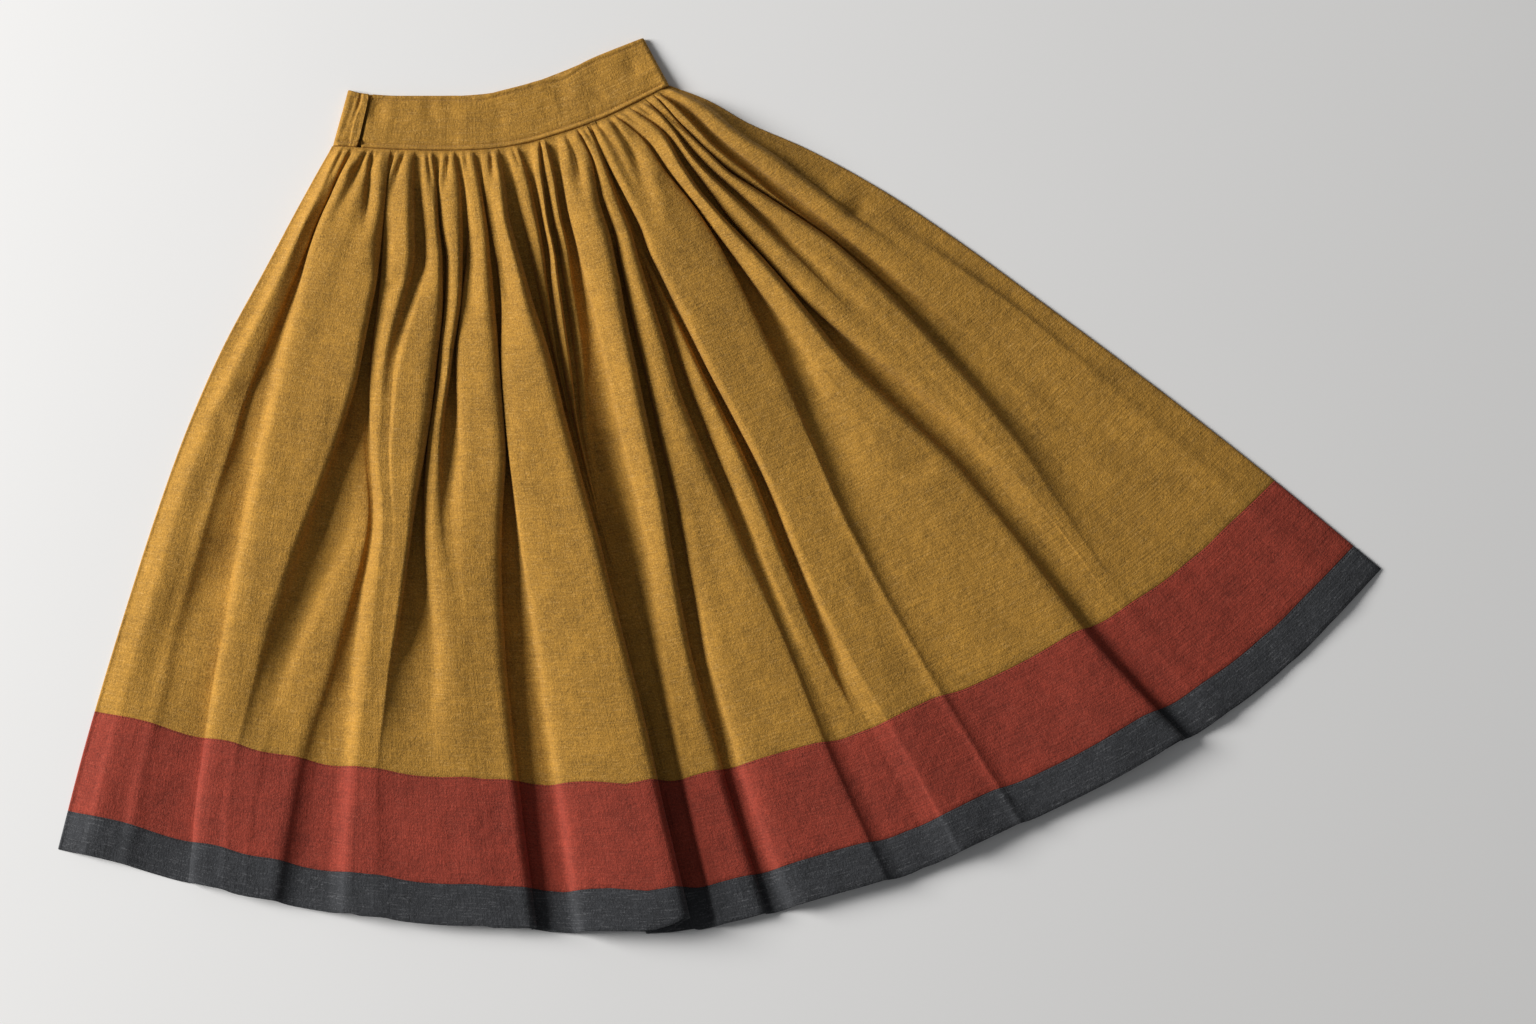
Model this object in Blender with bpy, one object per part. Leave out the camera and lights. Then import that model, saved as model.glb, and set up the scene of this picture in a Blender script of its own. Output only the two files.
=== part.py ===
"""Long gathered skirt laid flat on a surface, front side up.

The cloth of each sewn piece is a thin wall with the fan shape of the skirt and the folds that the gathers
throw. The origin is at the middle of the garment's footprint, on the surface. The waistband points to +Y,
the hem to -Y, and +Z is up, away from the surface. Tables are in millimetres.
"""

import math
from collections import namedtuple

import bpy
import numpy as np

MM = 0.001

# Cloth and seams
CLOTH = 1.2
BAND_CLOTH = 2.6
SEAM_GAP = 0.3

# Lengths of the laid front: along the waist seam, along the hem, and from one to the other
WAIST_LENGTH = 349
HEM_LENGTH = 1434
PANEL_LENGTH = 790

# Edges of the laid front panel, in mm from the middle of the footprint: (x, y)
WAIST_SEAM = [(-386, 340), (-357, 338), (-319, 336), (-279, 335), (-239, 336), (-199, 341), (-159, 352),
              (-119, 366), (-79, 385), (-50, 400)]
WAIST_TOP = [(-376, 394), (-357, 391), (-319, 390), (-279, 390), (-239, 392), (-199, 400), (-159, 414),
             (-119, 431), (-76, 448)]
LEFT_SIDE = [(-386, 340), (-411, 297), (-454, 217), (-497, 137), (-532, 57), (-561, -23), (-587, -103),
             (-635, -263), (-661, -363)]
RIGHT_SIDE = [(-50, 400), (-13, 386), (28, 363), (83, 339), (160, 297), (221, 257), (331, 177), (438, 97),
              (540, 17), (661, -83)]
HEM = [(-661, -363), (-619, -373), (-539, -395), (-459, -414), (-379, -428), (-299, -438), (-219, -443),
       (-139, -447), (-59, -448), (20, -435), (100, -414), (180, -392), (260, -358), (340, -321),
       (420, -281), (500, -233), (580, -169), (661, -83)]

# Heights above the surface
BAND_TOP_AT_SEAM = 10.4
BAND_TOP_AT_EDGE = 6.6
FRONT_AT_SEAM = 8.8
SIDE_AT_SEAM = 5.0
FRONT_ON_BACK = CLOTH + SEAM_GAP
BACK_GATHER_RISE = 4.0
FRONT_OVER_GATHERS = 5.6

# Shares of the way from the waist seam to the hem
WAIST_GAP = 0.0006
SEWN_IN = 0.004
RED_SEAM_SIDE = 0.812
RED_SEAM_SLOPE = 0.028
HEM_SEAM_SIDE = 0.948
HEM_SEAM_SLOPE = 0.011
SEAM_DRAW_PER_MM = 0.0008
BACK_RED_SEAM = 0.826
BACK_HEM_SEAM = 0.954
BACK_HEM_END = 0.996
FRONT_ROWS = (0, SEWN_IN, 0.016, 0.035, 0.06, 0.095, 0.14, 0.2, 0.27, 0.36, 0.46, 0.58, 0.7, 0.815)
BACK_ROWS = (0, SEWN_IN, 0.018, 0.05, 0.1, 0.17, 0.26, 0.5, BACK_RED_SEAM)

# The folds, one row each. left and right are the fold's edges as shares of the way across the panel, crest is
# the height of its top and valley that of the trough on its right, in mm above the layer below. Each holds a
# value for every station. gathers is how many of the waist's small gathers run into the fold.
STATIONS = (0.0, 0.05, 0.1, 0.2, 0.3, 0.5, 0.7, 0.82, 1.0)
Fold = namedtuple("Fold", "name gathers left right crest valley")
FOLDS = [
    Fold("placket", 1,
         (.012, .012, .012, .012, .012, .013, .014, .014, .014),
         (.052, .045, .046, .046, .050, .058, .062, .062, .062),
         (3, 6, 8, 9, 8, 5, 3, 3, 3), (1, 1, 1, 1, 1, 2, 1, 1, 1)),
    Fold("first", 4,
         (.063, .055, .055, .062, .078, .090, .090, .091, .093),
         (.170, .168, .180, .189, .185, .163, .130, .116, .112),
         (4, 10, 13, 15, 15, 13, 10, 9, 8), (1, 1, 1, 1, 1, 2, 2, 1, 4)),
    Fold("first_swell", 1,
         (.174, .172, .184, .194, .190, .174, .142, .127, .122),
         (.178, .175, .186, .203, .198, .205, .180, .168, .157),
         (1, 2, 2, 2, 2, 6, 7, 6, 7), (1, 1, 1, 1, 1, 2, 1, 1, 1)),
    Fold("second", 2,
         (.183, .179, .189, .208, .204, .227, .213, .205, .200),
         (.235, .238, .252, .240, .225, .236, .224, .217, .213),
         (4, 10, 14, 14, 13, 16, 13, 11, 10), (1, 2, 3, 7, 11, 15, 12, 10, 9)),
    Fold("second_side", 2,
         (.262, .262, .264, .250, .238, .242, .230, .223, .219),
         (.298, .300, .304, .304, .296, .268, .247, .242, .240),
         (4, 10, 13, 15, 15, 17, 14, 12, 10), (1, 1, 1, 1, 1, 1, 1, 1, 1)),
    Fold("third", 2,
         (.307, .305, .310, .311, .301, .279, .285, .288, .285),
         (.355, .354, .350, .332, .316, .305, .309, .309, .307),
         (4, 10, 13, 14, 14, 15, 12, 11, 10), (1, 2, 3, 5, 8, 13, 11, 10, 9)),
    Fold("third_side", 2,
         (.361, .359, .355, .338, .324, .311, .315, .315, .313),
         (.407, .402, .400, .396, .380, .360, .343, .338, .337),
         (4, 10, 14, 16, 16, 15, 12, 11, 10), (1, 1, 1, 1, 1, 1, 2, 2, 2)),
    Fold("fourth", 3,
         (.415, .408, .407, .405, .385, .378, .376, .372, .370),
         (.475, .457, .453, .452, .457, .458, .455, .452, .445),
         (4, 11, 14, 17, 20, 22, 21, 20, 19), (1, 1, 1, 1, 1, 1, 1, 1, 1)),
    Fold("fifth", 2,
         (.488, .481, .475, .468, .467, .470, .464, .459, .452),
         (.538, .520, .505, .490, .478, .478, .470, .464, .457),
         (4, 9, 11, 11, 8, 2, 1, 1, 1), (1, 1, 1, 1, 1, 1, 1, 1, 1)),
    Fold("sixth", 2,
         (.552, .530, .511, .496, .486, .485, .474, .466, .459),
         (.590, .549, .524, .501, .491, .490, .476, .468, .461),
         (4, 9, 10, 7, 3, 1, 1, 1, 1), (1, 1, 1, 1, 1, 1, 1, 1, 1)),
    Fold("sixth_side", 1,
         (.598, .560, .532, .508, .498, .494, .478, .470, .463),
         (.635, .594, .562, .530, .515, .500, .481, .472, .465),
         (4, 10, 12, 12, 8, 2, 1, 1, 1), (1, 1, 1, 1, 1, 1, 1, 1, 1)),
    Fold("seventh", 3,
         (.648, .610, .580, .551, .533, .510, .487, .476, .469),
         (.708, .680, .652, .604, .571, .536, .511, .504, .501),
         (4, 11, 15, 18, 20, 20, 17, 15, 13), (1, 1, 1, 1, 1, 1, 1, 1, 1)),
    Fold("eighth", 2,
         (.715, .688, .662, .612, .591, .551, .526, .520, .518),
         (.740, .703, .680, .643, .620, .587, .585, .586, .586),
         (4, 10, 13, 16, 18, 17, 14, 12, 10), (1, 1, 1, 1, 1, 2, 3, 4, 4)),
    Fold("ninth", 1,
         (.746, .708, .686, .650, .630, .610, .600, .598, .598),
         (.764, .716, .696, .660, .648, .637, .620, .612, .610),
         (4, 9, 12, 13, 13, 12, 8, 7, 7), (1, 1, 1, 1, 1, 1, 3, 6, 7)),
    Fold("tenth", 2,
         (.770, .722, .702, .667, .655, .647, .633, .622, .618),
         (.815, .790, .780, .763, .743, .708, .687, .685, .685),
         (4, 11, 15, 18, 19, 17, 14, 12, 10), (1, 1, 1, 1, 2, 6, 6, 5, 4)),
    Fold("eleventh", 2,
         (.825, .806, .793, .777, .766, .735, .705, .699, .698),
         (.862, .850, .834, .808, .800, .805, .814, .811, .814),
         (4, 11, 15, 17, 16, 14, 14, 13, 12), (1, 1, 1, 1, 1, 1, 1, 1, 1)),
    Fold("twelfth", 2,
         (.872, .858, .842, .815, .807, .815, .824, .824, .826),
         (.915, .880, .861, .838, .832, .845, .843, .840, .840),
         (4, 11, 15, 17, 15, 11, 7, 5, 4), (1, 1, 2, 5, 13, 11, 7, 5, 4)),
    Fold("thirteenth", 1,
         (.924, .890, .874, .858, .850, .855, .850, .847, .846),
         (.943, .906, .889, .882, .891, .885, .863, .856, .852),
         (4, 10, 13, 15, 15, 12, 8, 5, 4), (1, 1, 1, 1, 2, 3, 3, 3, 3)),
    Fold("fourteenth", 1,
         (.949, .912, .897, .888, .897, .895, .888, .885, .885),
         (.962, .930, .914, .899, .902, .905, .905, .905, .905),
         (4, 9, 9, 6, 3, 3, 3, 3, 3), (1, 1, 1, 1, 2, 3, 3, 3, 3)),
    Fold("fifteenth", 2,
         (.967, .941, .929, .915, .911, .920, .920, .920, .920),
         (.990, .984, .975, .951, .940, .945, .945, .945, .945),
         (4, 9, 11, 11, 8, 3, 3, 3, 3), (1, 1, 1, 2, 3, 3, 3, 3, 3)),
]

# The shape of a fold across itself
LIP_SHARE = 0.5
CROWN_POWER = 2.6
FLANK_PER_RISE = 0.55
FLANK_MOST = 0.36
GATHER_DENT = 3.2
GATHER_FADE = 0.11
SIDE_BLEND = 0.03
STEEPEST = 0.5
FLAT_SIDE_RISE = 2.6

# Where the cloth swells out of the waist seam, and where the gathers start and stop dying away
SWELL = 0.014
GATHERS_FULL = 0.07
GATHERS_GONE = 0.27

BACK_GATHERS = 36

# The waistband's way round, in shares of the way across
BAND_START = 0.088
BAND_TURN = 0.016
LAP_END = 0.07
BAND_STEPS = 26
TURN_ANGLES = [math.pi * k / 5 for k in range(1, 5)]

# Linear sRGB base colours from the cloth: mustard, rust red, charcoal
MUSTARD = (0.332, 0.185, 0.043)
RUST = (0.235, 0.042, 0.024)
CHARCOAL = (0.038, 0.037, 0.039)


def monotone(x, y):
    """Return a smooth function through (x, y) that never overshoots between two points."""
    x, y = np.array(x, float), np.array(y, float)
    step = np.diff(x)
    slope = np.diff(y) / step
    rate = np.zeros_like(y)
    rate[0], rate[-1] = slope[0], slope[-1]
    for i in range(1, len(x) - 1):
        if slope[i - 1] * slope[i] > 0:
            near, far = 2 * step[i] + step[i - 1], step[i] + 2 * step[i - 1]
            rate[i] = (near + far) / (near / slope[i - 1] + far / slope[i])

    def value(at):
        i = int(np.clip(np.searchsorted(x, at, side="right") - 1, 0, len(x) - 2))
        u = (at - x[i]) / step[i]
        start = (1 + 2 * u) * (1 - u) ** 2 * y[i] + u * (1 - u) ** 2 * step[i] * rate[i]
        end = u * u * (3 - 2 * u) * y[i + 1] + u * u * (u - 1) * step[i] * rate[i + 1]
        return float(start + end)

    return value


def edge(points):
    """Return the smooth curve through points as a function of the share of its length."""
    points = np.array(points, float)
    run = np.concatenate([[0], np.cumsum(np.linalg.norm(np.diff(points, axis=0), axis=1))])
    share = run / run[-1]
    along_x, along_y = monotone(share, points[:, 0]), monotone(share, points[:, 1])
    return lambda at: np.array([along_x(at), along_y(at)])


waist, waist_top, left_side, right_side, hem = map(
    edge, (WAIST_SEAM, WAIST_TOP, LEFT_SIDE, RIGHT_SIDE, HEM))


def fan(s, t):
    """Return the plan position (x, y) of the share s across the panel and t from waist seam to hem."""
    across = (1 - t) * waist(s) + t * hem(s)
    down = (1 - s) * left_side(t) + s * right_side(t)
    corners = ((1 - s) * (1 - t) * waist(0) + s * (1 - t) * waist(1)
               + (1 - s) * t * hem(0) + s * t * hem(1))
    return across + down - corners


def smooth_step(x):
    """Return 0 below 0, 1 above 1 and a soft step between."""
    x = min(max(x, 0.0), 1.0)
    return x * x * (3 - 2 * x)


def side_window(s):
    """Return 0 at either side seam and 1 away from it."""
    return smooth_step(min(s, 1 - s) / SIDE_BLEND)


def gather_window(t):
    """Return the share of the waist gathers' height that is left at t."""
    return smooth_step(t / SWELL) * (1 - smooth_step((t - GATHERS_FULL) / (GATHERS_GONE - GATHERS_FULL)))


class FoldCurves:
    """A row of the table read at any t."""

    def __init__(self, row):
        self.gathers = row.gathers
        self.left, self.right, self.crest, self.valley = (
            monotone(STATIONS, values) for values in (row.left, row.right, row.crest, row.valley))


CURVES = [FoldCurves(row) for row in FOLDS]


def flank(rise, gap, t):
    """Return how far a fold's side runs out from its lip, as a share of the panel's width at t."""
    width = WAIST_LENGTH + (HEM_LENGTH - WAIST_LENGTH) * t
    return min(FLANK_MOST * gap, FLANK_PER_RISE * max(rise, 1) / width)


def foot_left(i, t):
    """Return (s, height, draw) of the foot on the left of fold i."""
    fold = CURVES[i]
    start = CURVES[i - 1].right(t) if i else 0.0
    low = CURVES[i - 1].valley(t) if i else 0.0
    return fold.left(t) - flank(fold.crest(t) - low, fold.left(t) - start, t), low, 0.0


def foot_right(i, t):
    """Return (s, height, draw) of the foot on the right of fold i."""
    fold = CURVES[i]
    end = CURVES[i + 1].left(t) if i + 1 < len(CURVES) else 1.0
    low = fold.valley(t)
    return fold.right(t) + flank(fold.crest(t) - low, end - fold.right(t), t), low, 0.0


def crown(i, share, t):
    """Return (s, height, draw) on the top of fold i, at a share of the way from its left lip to its right.

    draw is the height that draws the seams of the bands towards the waist there: most at the right lip.
    """
    fold = CURVES[i]
    low = (1 - share) * (CURVES[i - 1].valley(t) if i else 0.0) + share * fold.valley(t)
    rise = LIP_SHARE + (1 - LIP_SHARE) * (1 - abs(2 * share - 1) ** CROWN_POWER)
    dent = 0.5 - 0.5 * math.cos(2 * math.pi * fold.gathers * share)
    dent = (1 - dent) * GATHER_DENT * (1 - smooth_step(t / GATHER_FADE)) * smooth_step(t / SWELL)
    s = fold.left(t) + share * (fold.right(t) - fold.left(t))
    inner = 0 if share in (0, 1) else 1
    return s, low + (fold.crest(t) - low) * rise - inner * dent, fold.crest(t) * (0.2 + 0.8 * share)


def front_columns():
    """Return one function of t for each column of the front, from the left side to the right one."""
    columns = [lambda t: (0.0, 0.0, 0.0)]
    for i, row in enumerate(FOLDS):
        steps = max(2 * row.gathers, 3)
        columns.append(lambda t, i=i: foot_left(i, t))
        for k in range(steps + 1):
            columns.append(lambda t, i=i, share=k / steps: crown(i, share, t))
        columns.append(lambda t, i=i: foot_right(i, t))
    columns.append(lambda t: ((CURVES[-1].right(t) + 2) / 3, FLAT_SIDE_RISE * smooth_step(t / 0.2), 0.0))
    columns.append(lambda t: (1.0, 0.0, 0.0))
    return columns


def front_point(column, t):
    """Return the point in metres on the front's lower skin for a column at t."""
    s, height, _ = column(t)
    window = side_window(s)
    base = FRONT_ON_BACK + FRONT_OVER_GATHERS * gather_window(t) * window
    sewn = SIDE_AT_SEAM + (FRONT_AT_SEAM - SIDE_AT_SEAM) * window
    free = smooth_step((t - SEWN_IN) / SWELL)
    x, y = fan(s, t)
    return x * MM, y * MM, (sewn + (base + height - sewn) * free) * MM


def seam_at(column, side, slope):
    """Return t of a seam across the front for a column: a raised fold draws it towards the waist."""
    s, _, draw = column(side)
    return side + slope * s - SEAM_DRAW_PER_MM * draw


def cloth_material(name, colour):
    """Return a matt cloth material."""
    material = bpy.data.materials.new(name)
    material.use_nodes = True
    shader = material.node_tree.nodes["Principled BSDF"]
    shader.inputs["Base Color"].default_value = (*colour, 1.0)
    shader.inputs["Roughness"].default_value = 0.9
    shader.inputs["Metallic"].default_value = 0.0
    material.diffuse_color = (*colour, 1.0)
    return material


def wall(name, upper, lower, material):
    """Make a closed wall between two grids of points: rows of the upper skin and of the lower skin."""
    count, width = len(upper), len(upper[0])
    below = count * width
    points = [point for row in upper for point in row] + [point for row in lower for point in row]
    faces = []
    for r in range(count - 1):
        for c in range(width - 1):
            here, under = r * width + c, (r + 1) * width + c
            for triangle in ((here, under, under + 1), (here, under + 1, here + 1)):
                faces.append(triangle)
                faces.append(tuple(below + i for i in reversed(triangle)))
    last = count - 1
    right_edge = [r * width + width - 1 for r in range(1, last)]
    left_edge = [r * width for r in range(last - 1, 0, -1)]
    rim = [*range(width), *right_edge, *reversed(range(last * width, last * width + width)), *left_edge]
    for start, end in zip(rim, rim[1:] + rim[:1]):
        faces.append((start, end, below + end, below + start))
    mesh = bpy.data.meshes.new(name)
    mesh.from_pydata(points, [], faces)
    mesh.materials.append(material)
    mesh.shade_smooth()
    mesh.set_sharp_from_angle(angle=math.radians(60))
    piece = bpy.data.objects.new(name, mesh)
    bpy.context.scene.collection.objects.link(piece)


def thicken(rows, thickness):
    """Return the rows raised by a wall that keeps its thickness on slopes, up to STEEPEST."""
    grid = np.array(rows)
    across = np.gradient(grid, axis=1)
    down = np.gradient(grid, axis=0)
    normal = np.cross(across, down)
    upright = np.abs(normal[..., 2]) / np.linalg.norm(normal, axis=-1)
    grid[..., 2] += thickness * MM / np.maximum(upright, STEEPEST)
    return grid.tolist()


def front_rows(columns, starts, ends, shares):
    """Return rows of points between the t values that starts and ends give for each column."""
    rows = []
    for share in shares:
        rows.append([front_point(column, start + (end - start) * share)
                     for column, start, end in zip(columns, starts, ends)])
    return rows


def make_front(materials):
    """Make the front panel and its two bands."""
    columns = front_columns()
    half_gap = SEAM_GAP / 2 / PANEL_LENGTH
    red = [seam_at(column, RED_SEAM_SIDE, RED_SEAM_SLOPE) for column in columns]
    dark = [seam_at(column, HEM_SEAM_SIDE, HEM_SEAM_SLOPE) for column in columns]
    top = [WAIST_GAP] * len(columns)
    bottom = [1.0] * len(columns)
    body_shares = [t / FRONT_ROWS[-1] for t in FRONT_ROWS]
    pieces = [
        ("skirt_front", top, [t - half_gap for t in red], body_shares, "mustard"),
        ("red_band_front", [t + half_gap for t in red], [t - half_gap for t in dark], (0, 1), "rust"),
        ("hem_band_front", [t + half_gap for t in dark], bottom, (0, 1), "charcoal"),
    ]
    for name, starts, ends, shares, colour in pieces:
        lower = front_rows(columns, starts, ends, shares)
        wall(name, thicken(lower, CLOTH), lower, materials[colour])


def back_point(s, t):
    """Return the point in metres on the back's lower skin: flat, but for the uneven arches of the gathers."""
    turn = s * BACK_GATHERS
    uneven = 0.8 + 0.2 * math.sin(2.3 * math.floor(turn))
    arch = (0.5 - 0.5 * math.cos(2 * math.pi * turn)) * uneven * side_window(s)
    x, y = fan(s, t)
    return x * MM, y * MM, BACK_GATHER_RISE * arch * gather_window(t) * MM


def make_back(materials):
    """Make the back panel and its two bands, which lie on the surface."""
    half_gap = SEAM_GAP / 2 / PANEL_LENGTH
    count = 2 * BACK_GATHERS
    pieces = [
        ("skirt_back", [WAIST_GAP, *BACK_ROWS[1:-1], BACK_RED_SEAM - half_gap], "mustard"),
        ("red_band_back", [BACK_RED_SEAM + half_gap, BACK_HEM_SEAM - half_gap], "rust"),
        ("hem_band_back", [BACK_HEM_SEAM + half_gap, BACK_HEM_END], "charcoal"),
    ]
    for name, stations, colour in pieces:
        lower = [[back_point(c / count, t) for c in range(count + 1)] for t in stations]
        wall(name, thicken(lower, CLOTH), lower, materials[colour])


def band_path():
    """Return the waistband's way round as (share across, level), level 0 on the surface and 1 on top."""
    front = [(BAND_START + (1 - BAND_TURN - BAND_START) * k / BAND_STEPS, 1.0) for k in range(BAND_STEPS + 1)]
    right = [(1 - BAND_TURN + BAND_TURN * math.sin(angle), 0.5 + 0.5 * math.cos(angle))
             for angle in TURN_ANGLES]
    back = [(1 - BAND_TURN - (1 - 2 * BAND_TURN) * k / BAND_STEPS, 0.0) for k in range(BAND_STEPS + 1)]
    left = [(BAND_TURN - BAND_TURN * math.sin(angle), 0.5 - 0.5 * math.cos(angle)) for angle in TURN_ANGLES]
    lap = [(BAND_TURN + (LAP_END - BAND_TURN) * k / 3, 1.0) for k in range(4)]
    return front + right + back + left + lap


def band_skin(path, inset):
    """Return rows of points round the waistband, inset from its outer skin by a distance in mm."""
    rows = []
    for up in (0.0, 0.5, 1.0):
        top = BAND_TOP_AT_SEAM + (BAND_TOP_AT_EDGE - BAND_TOP_AT_SEAM) * up
        row = []
        for s, level in path:
            if s < BAND_TURN:
                s += inset / WAIST_LENGTH * (1 - s / BAND_TURN)
            if s > 1 - BAND_TURN:
                s -= inset / WAIST_LENGTH * (1 - (1 - s) / BAND_TURN)
            low, high = waist(s), waist_top(s)
            x, y = low + (high - low) * up
            row.append((x * MM, y * MM, (inset + (top - 2 * inset) * level) * MM))
        rows.append(row)
    return rows


def make_waistband(materials):
    """Make the waistband: one strip along the front, round the right end, back, and lapped at the left."""
    path = band_path()
    wall("waistband", band_skin(path, 0.0)[::-1], band_skin(path, BAND_CLOTH)[::-1], materials["mustard"])


def main():
    """Clear the scene and make the skirt."""
    for old in list(bpy.data.objects):
        bpy.data.objects.remove(old, do_unlink=True)
    materials = {
        "mustard": cloth_material("mustard_cloth", MUSTARD),
        "rust": cloth_material("rust_cloth", RUST),
        "charcoal": cloth_material("charcoal_cloth", CHARCOAL),
    }
    make_back(materials)
    make_front(materials)
    make_waistband(materials)


main()
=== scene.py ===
"""Long gathered skirt laid flat: cloth, sewing, floor and light.

Lengths in the tables are in millimetres, and the scene is in metres. The waistband points to +Y, the hem to
-Y and +Z is up. A place on a panel is given by s, the share of the way across from the left side to the right
one, and t, the share of the way from the waist seam to the hem.
"""

import math
from collections import namedtuple

import bpy
import numpy as np
from bpy.props import FloatProperty, FloatVectorProperty, PointerProperty
from bpy.types import Operator, Panel, PropertyGroup
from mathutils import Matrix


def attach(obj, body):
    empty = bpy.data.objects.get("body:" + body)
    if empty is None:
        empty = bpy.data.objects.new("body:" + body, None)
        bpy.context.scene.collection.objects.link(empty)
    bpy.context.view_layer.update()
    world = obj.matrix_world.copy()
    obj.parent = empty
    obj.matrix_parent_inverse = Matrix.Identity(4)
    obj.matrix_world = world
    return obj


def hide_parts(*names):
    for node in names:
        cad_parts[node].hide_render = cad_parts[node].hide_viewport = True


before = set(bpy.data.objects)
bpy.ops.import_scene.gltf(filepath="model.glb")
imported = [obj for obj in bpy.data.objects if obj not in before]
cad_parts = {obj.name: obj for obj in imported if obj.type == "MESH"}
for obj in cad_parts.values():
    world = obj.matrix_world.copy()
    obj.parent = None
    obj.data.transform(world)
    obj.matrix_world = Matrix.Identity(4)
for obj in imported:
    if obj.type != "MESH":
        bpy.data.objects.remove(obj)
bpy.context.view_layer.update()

bl_info = {
    "name": "Gathered skirt",
    "version": (1, 0, 0),
    "blender": (4, 5, 0),
    "location": "View3D > Sidebar > Skirt",
    "description": "Makes a long gathered skirt laid flat, with its sewing, the floor and the light",
    "category": "Object",
}

MM = 0.001

# Lengths of the laid front: along the waist seam, along the hem, and from one to the other
WAIST_LENGTH = 349
HEM_LENGTH = 1434
PANEL_LENGTH = 790

# Edges of the laid front panel, as they lie in the photograph at 1 mm a pixel: (x, y)
WAIST_SEAM = [(-386, 340), (-357, 338), (-319, 336), (-279, 335), (-239, 336), (-199, 341), (-159, 352),
              (-119, 366), (-79, 385), (-50, 400)]
WAIST_TOP = [(-371, 396), (-357, 392.5), (-319, 390), (-279, 390), (-239, 392), (-199, 400), (-159, 414),
             (-119, 431), (-76, 448)]
LEFT_SIDE = [(-386, 340), (-411, 297), (-454, 217), (-497, 137), (-532, 57), (-561, -23), (-587, -103),
             (-635, -263), (-661, -363)]
RIGHT_SIDE = [(-50, 400), (-13, 386), (28, 363), (83, 339), (160, 297), (221, 257), (331, 177), (438, 97),
              (540, 17), (661, -83)]
HEM = [(-661, -363), (-619, -373), (-539, -395), (-459, -414), (-379, -428), (-299, -438), (-219, -443),
       (-139, -447), (-59, -448), (20, -435), (100, -414), (180, -392), (260, -358), (340, -321),
       (420, -281), (500, -233), (580, -169), (661, -83)]

# Heights above the surface
BAND_TOP_AT_SEAM = 10.4
BAND_TOP_AT_EDGE = 6.6
FRONT_AT_SEAM = 8.4
SIDE_AT_SEAM = 5.0
FRONT_ON_BACK = 1.5
# How far the front's upper skin lies above the solid's lower one, and the least height of any cloth
SKIN = 1.2
LEAST_HEIGHT = 0.02
BACK_GATHER_RISE = 4.0
FRONT_OVER_GATHERS = 5.6

# Shares of the way from the waist seam to the hem
WAIST_GAP = 0.0006
SWELL_START = 0.0015
SWELL = 0.010
GATHERS_FULL = 0.07
GATHERS_GONE = 0.27
SIDE_BLEND = 0.03
RED_SEAM_SIDE = 0.812
RED_SEAM_SLOPE = 0.028
HEM_SEAM_SIDE = 0.948
HEM_SEAM_SLOPE = 0.011
# How far a raised fold draws the bands' seams and the hem's edge towards the waist, for each mm of its height
# and of its lean
SEAM_DRAW_PER_MM = 0.0006
HEM_DRAW_PER_MM = 0.0003
HEM_DRAW_PER_TUCK = 0.00026
# The draw is evened out on this many places across the front, over this many of them to each side
EVEN_PLACES = 1201
EVEN_REACH = 40
SEAM_EVEN = 9.0
HEM_EVEN = 2.5
BACK_RED_SEAM = 0.826
BACK_HEM_SEAM = 0.954
BACK_HEM_END = 0.996
HALF_SEAM_GAP = 0.15

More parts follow.
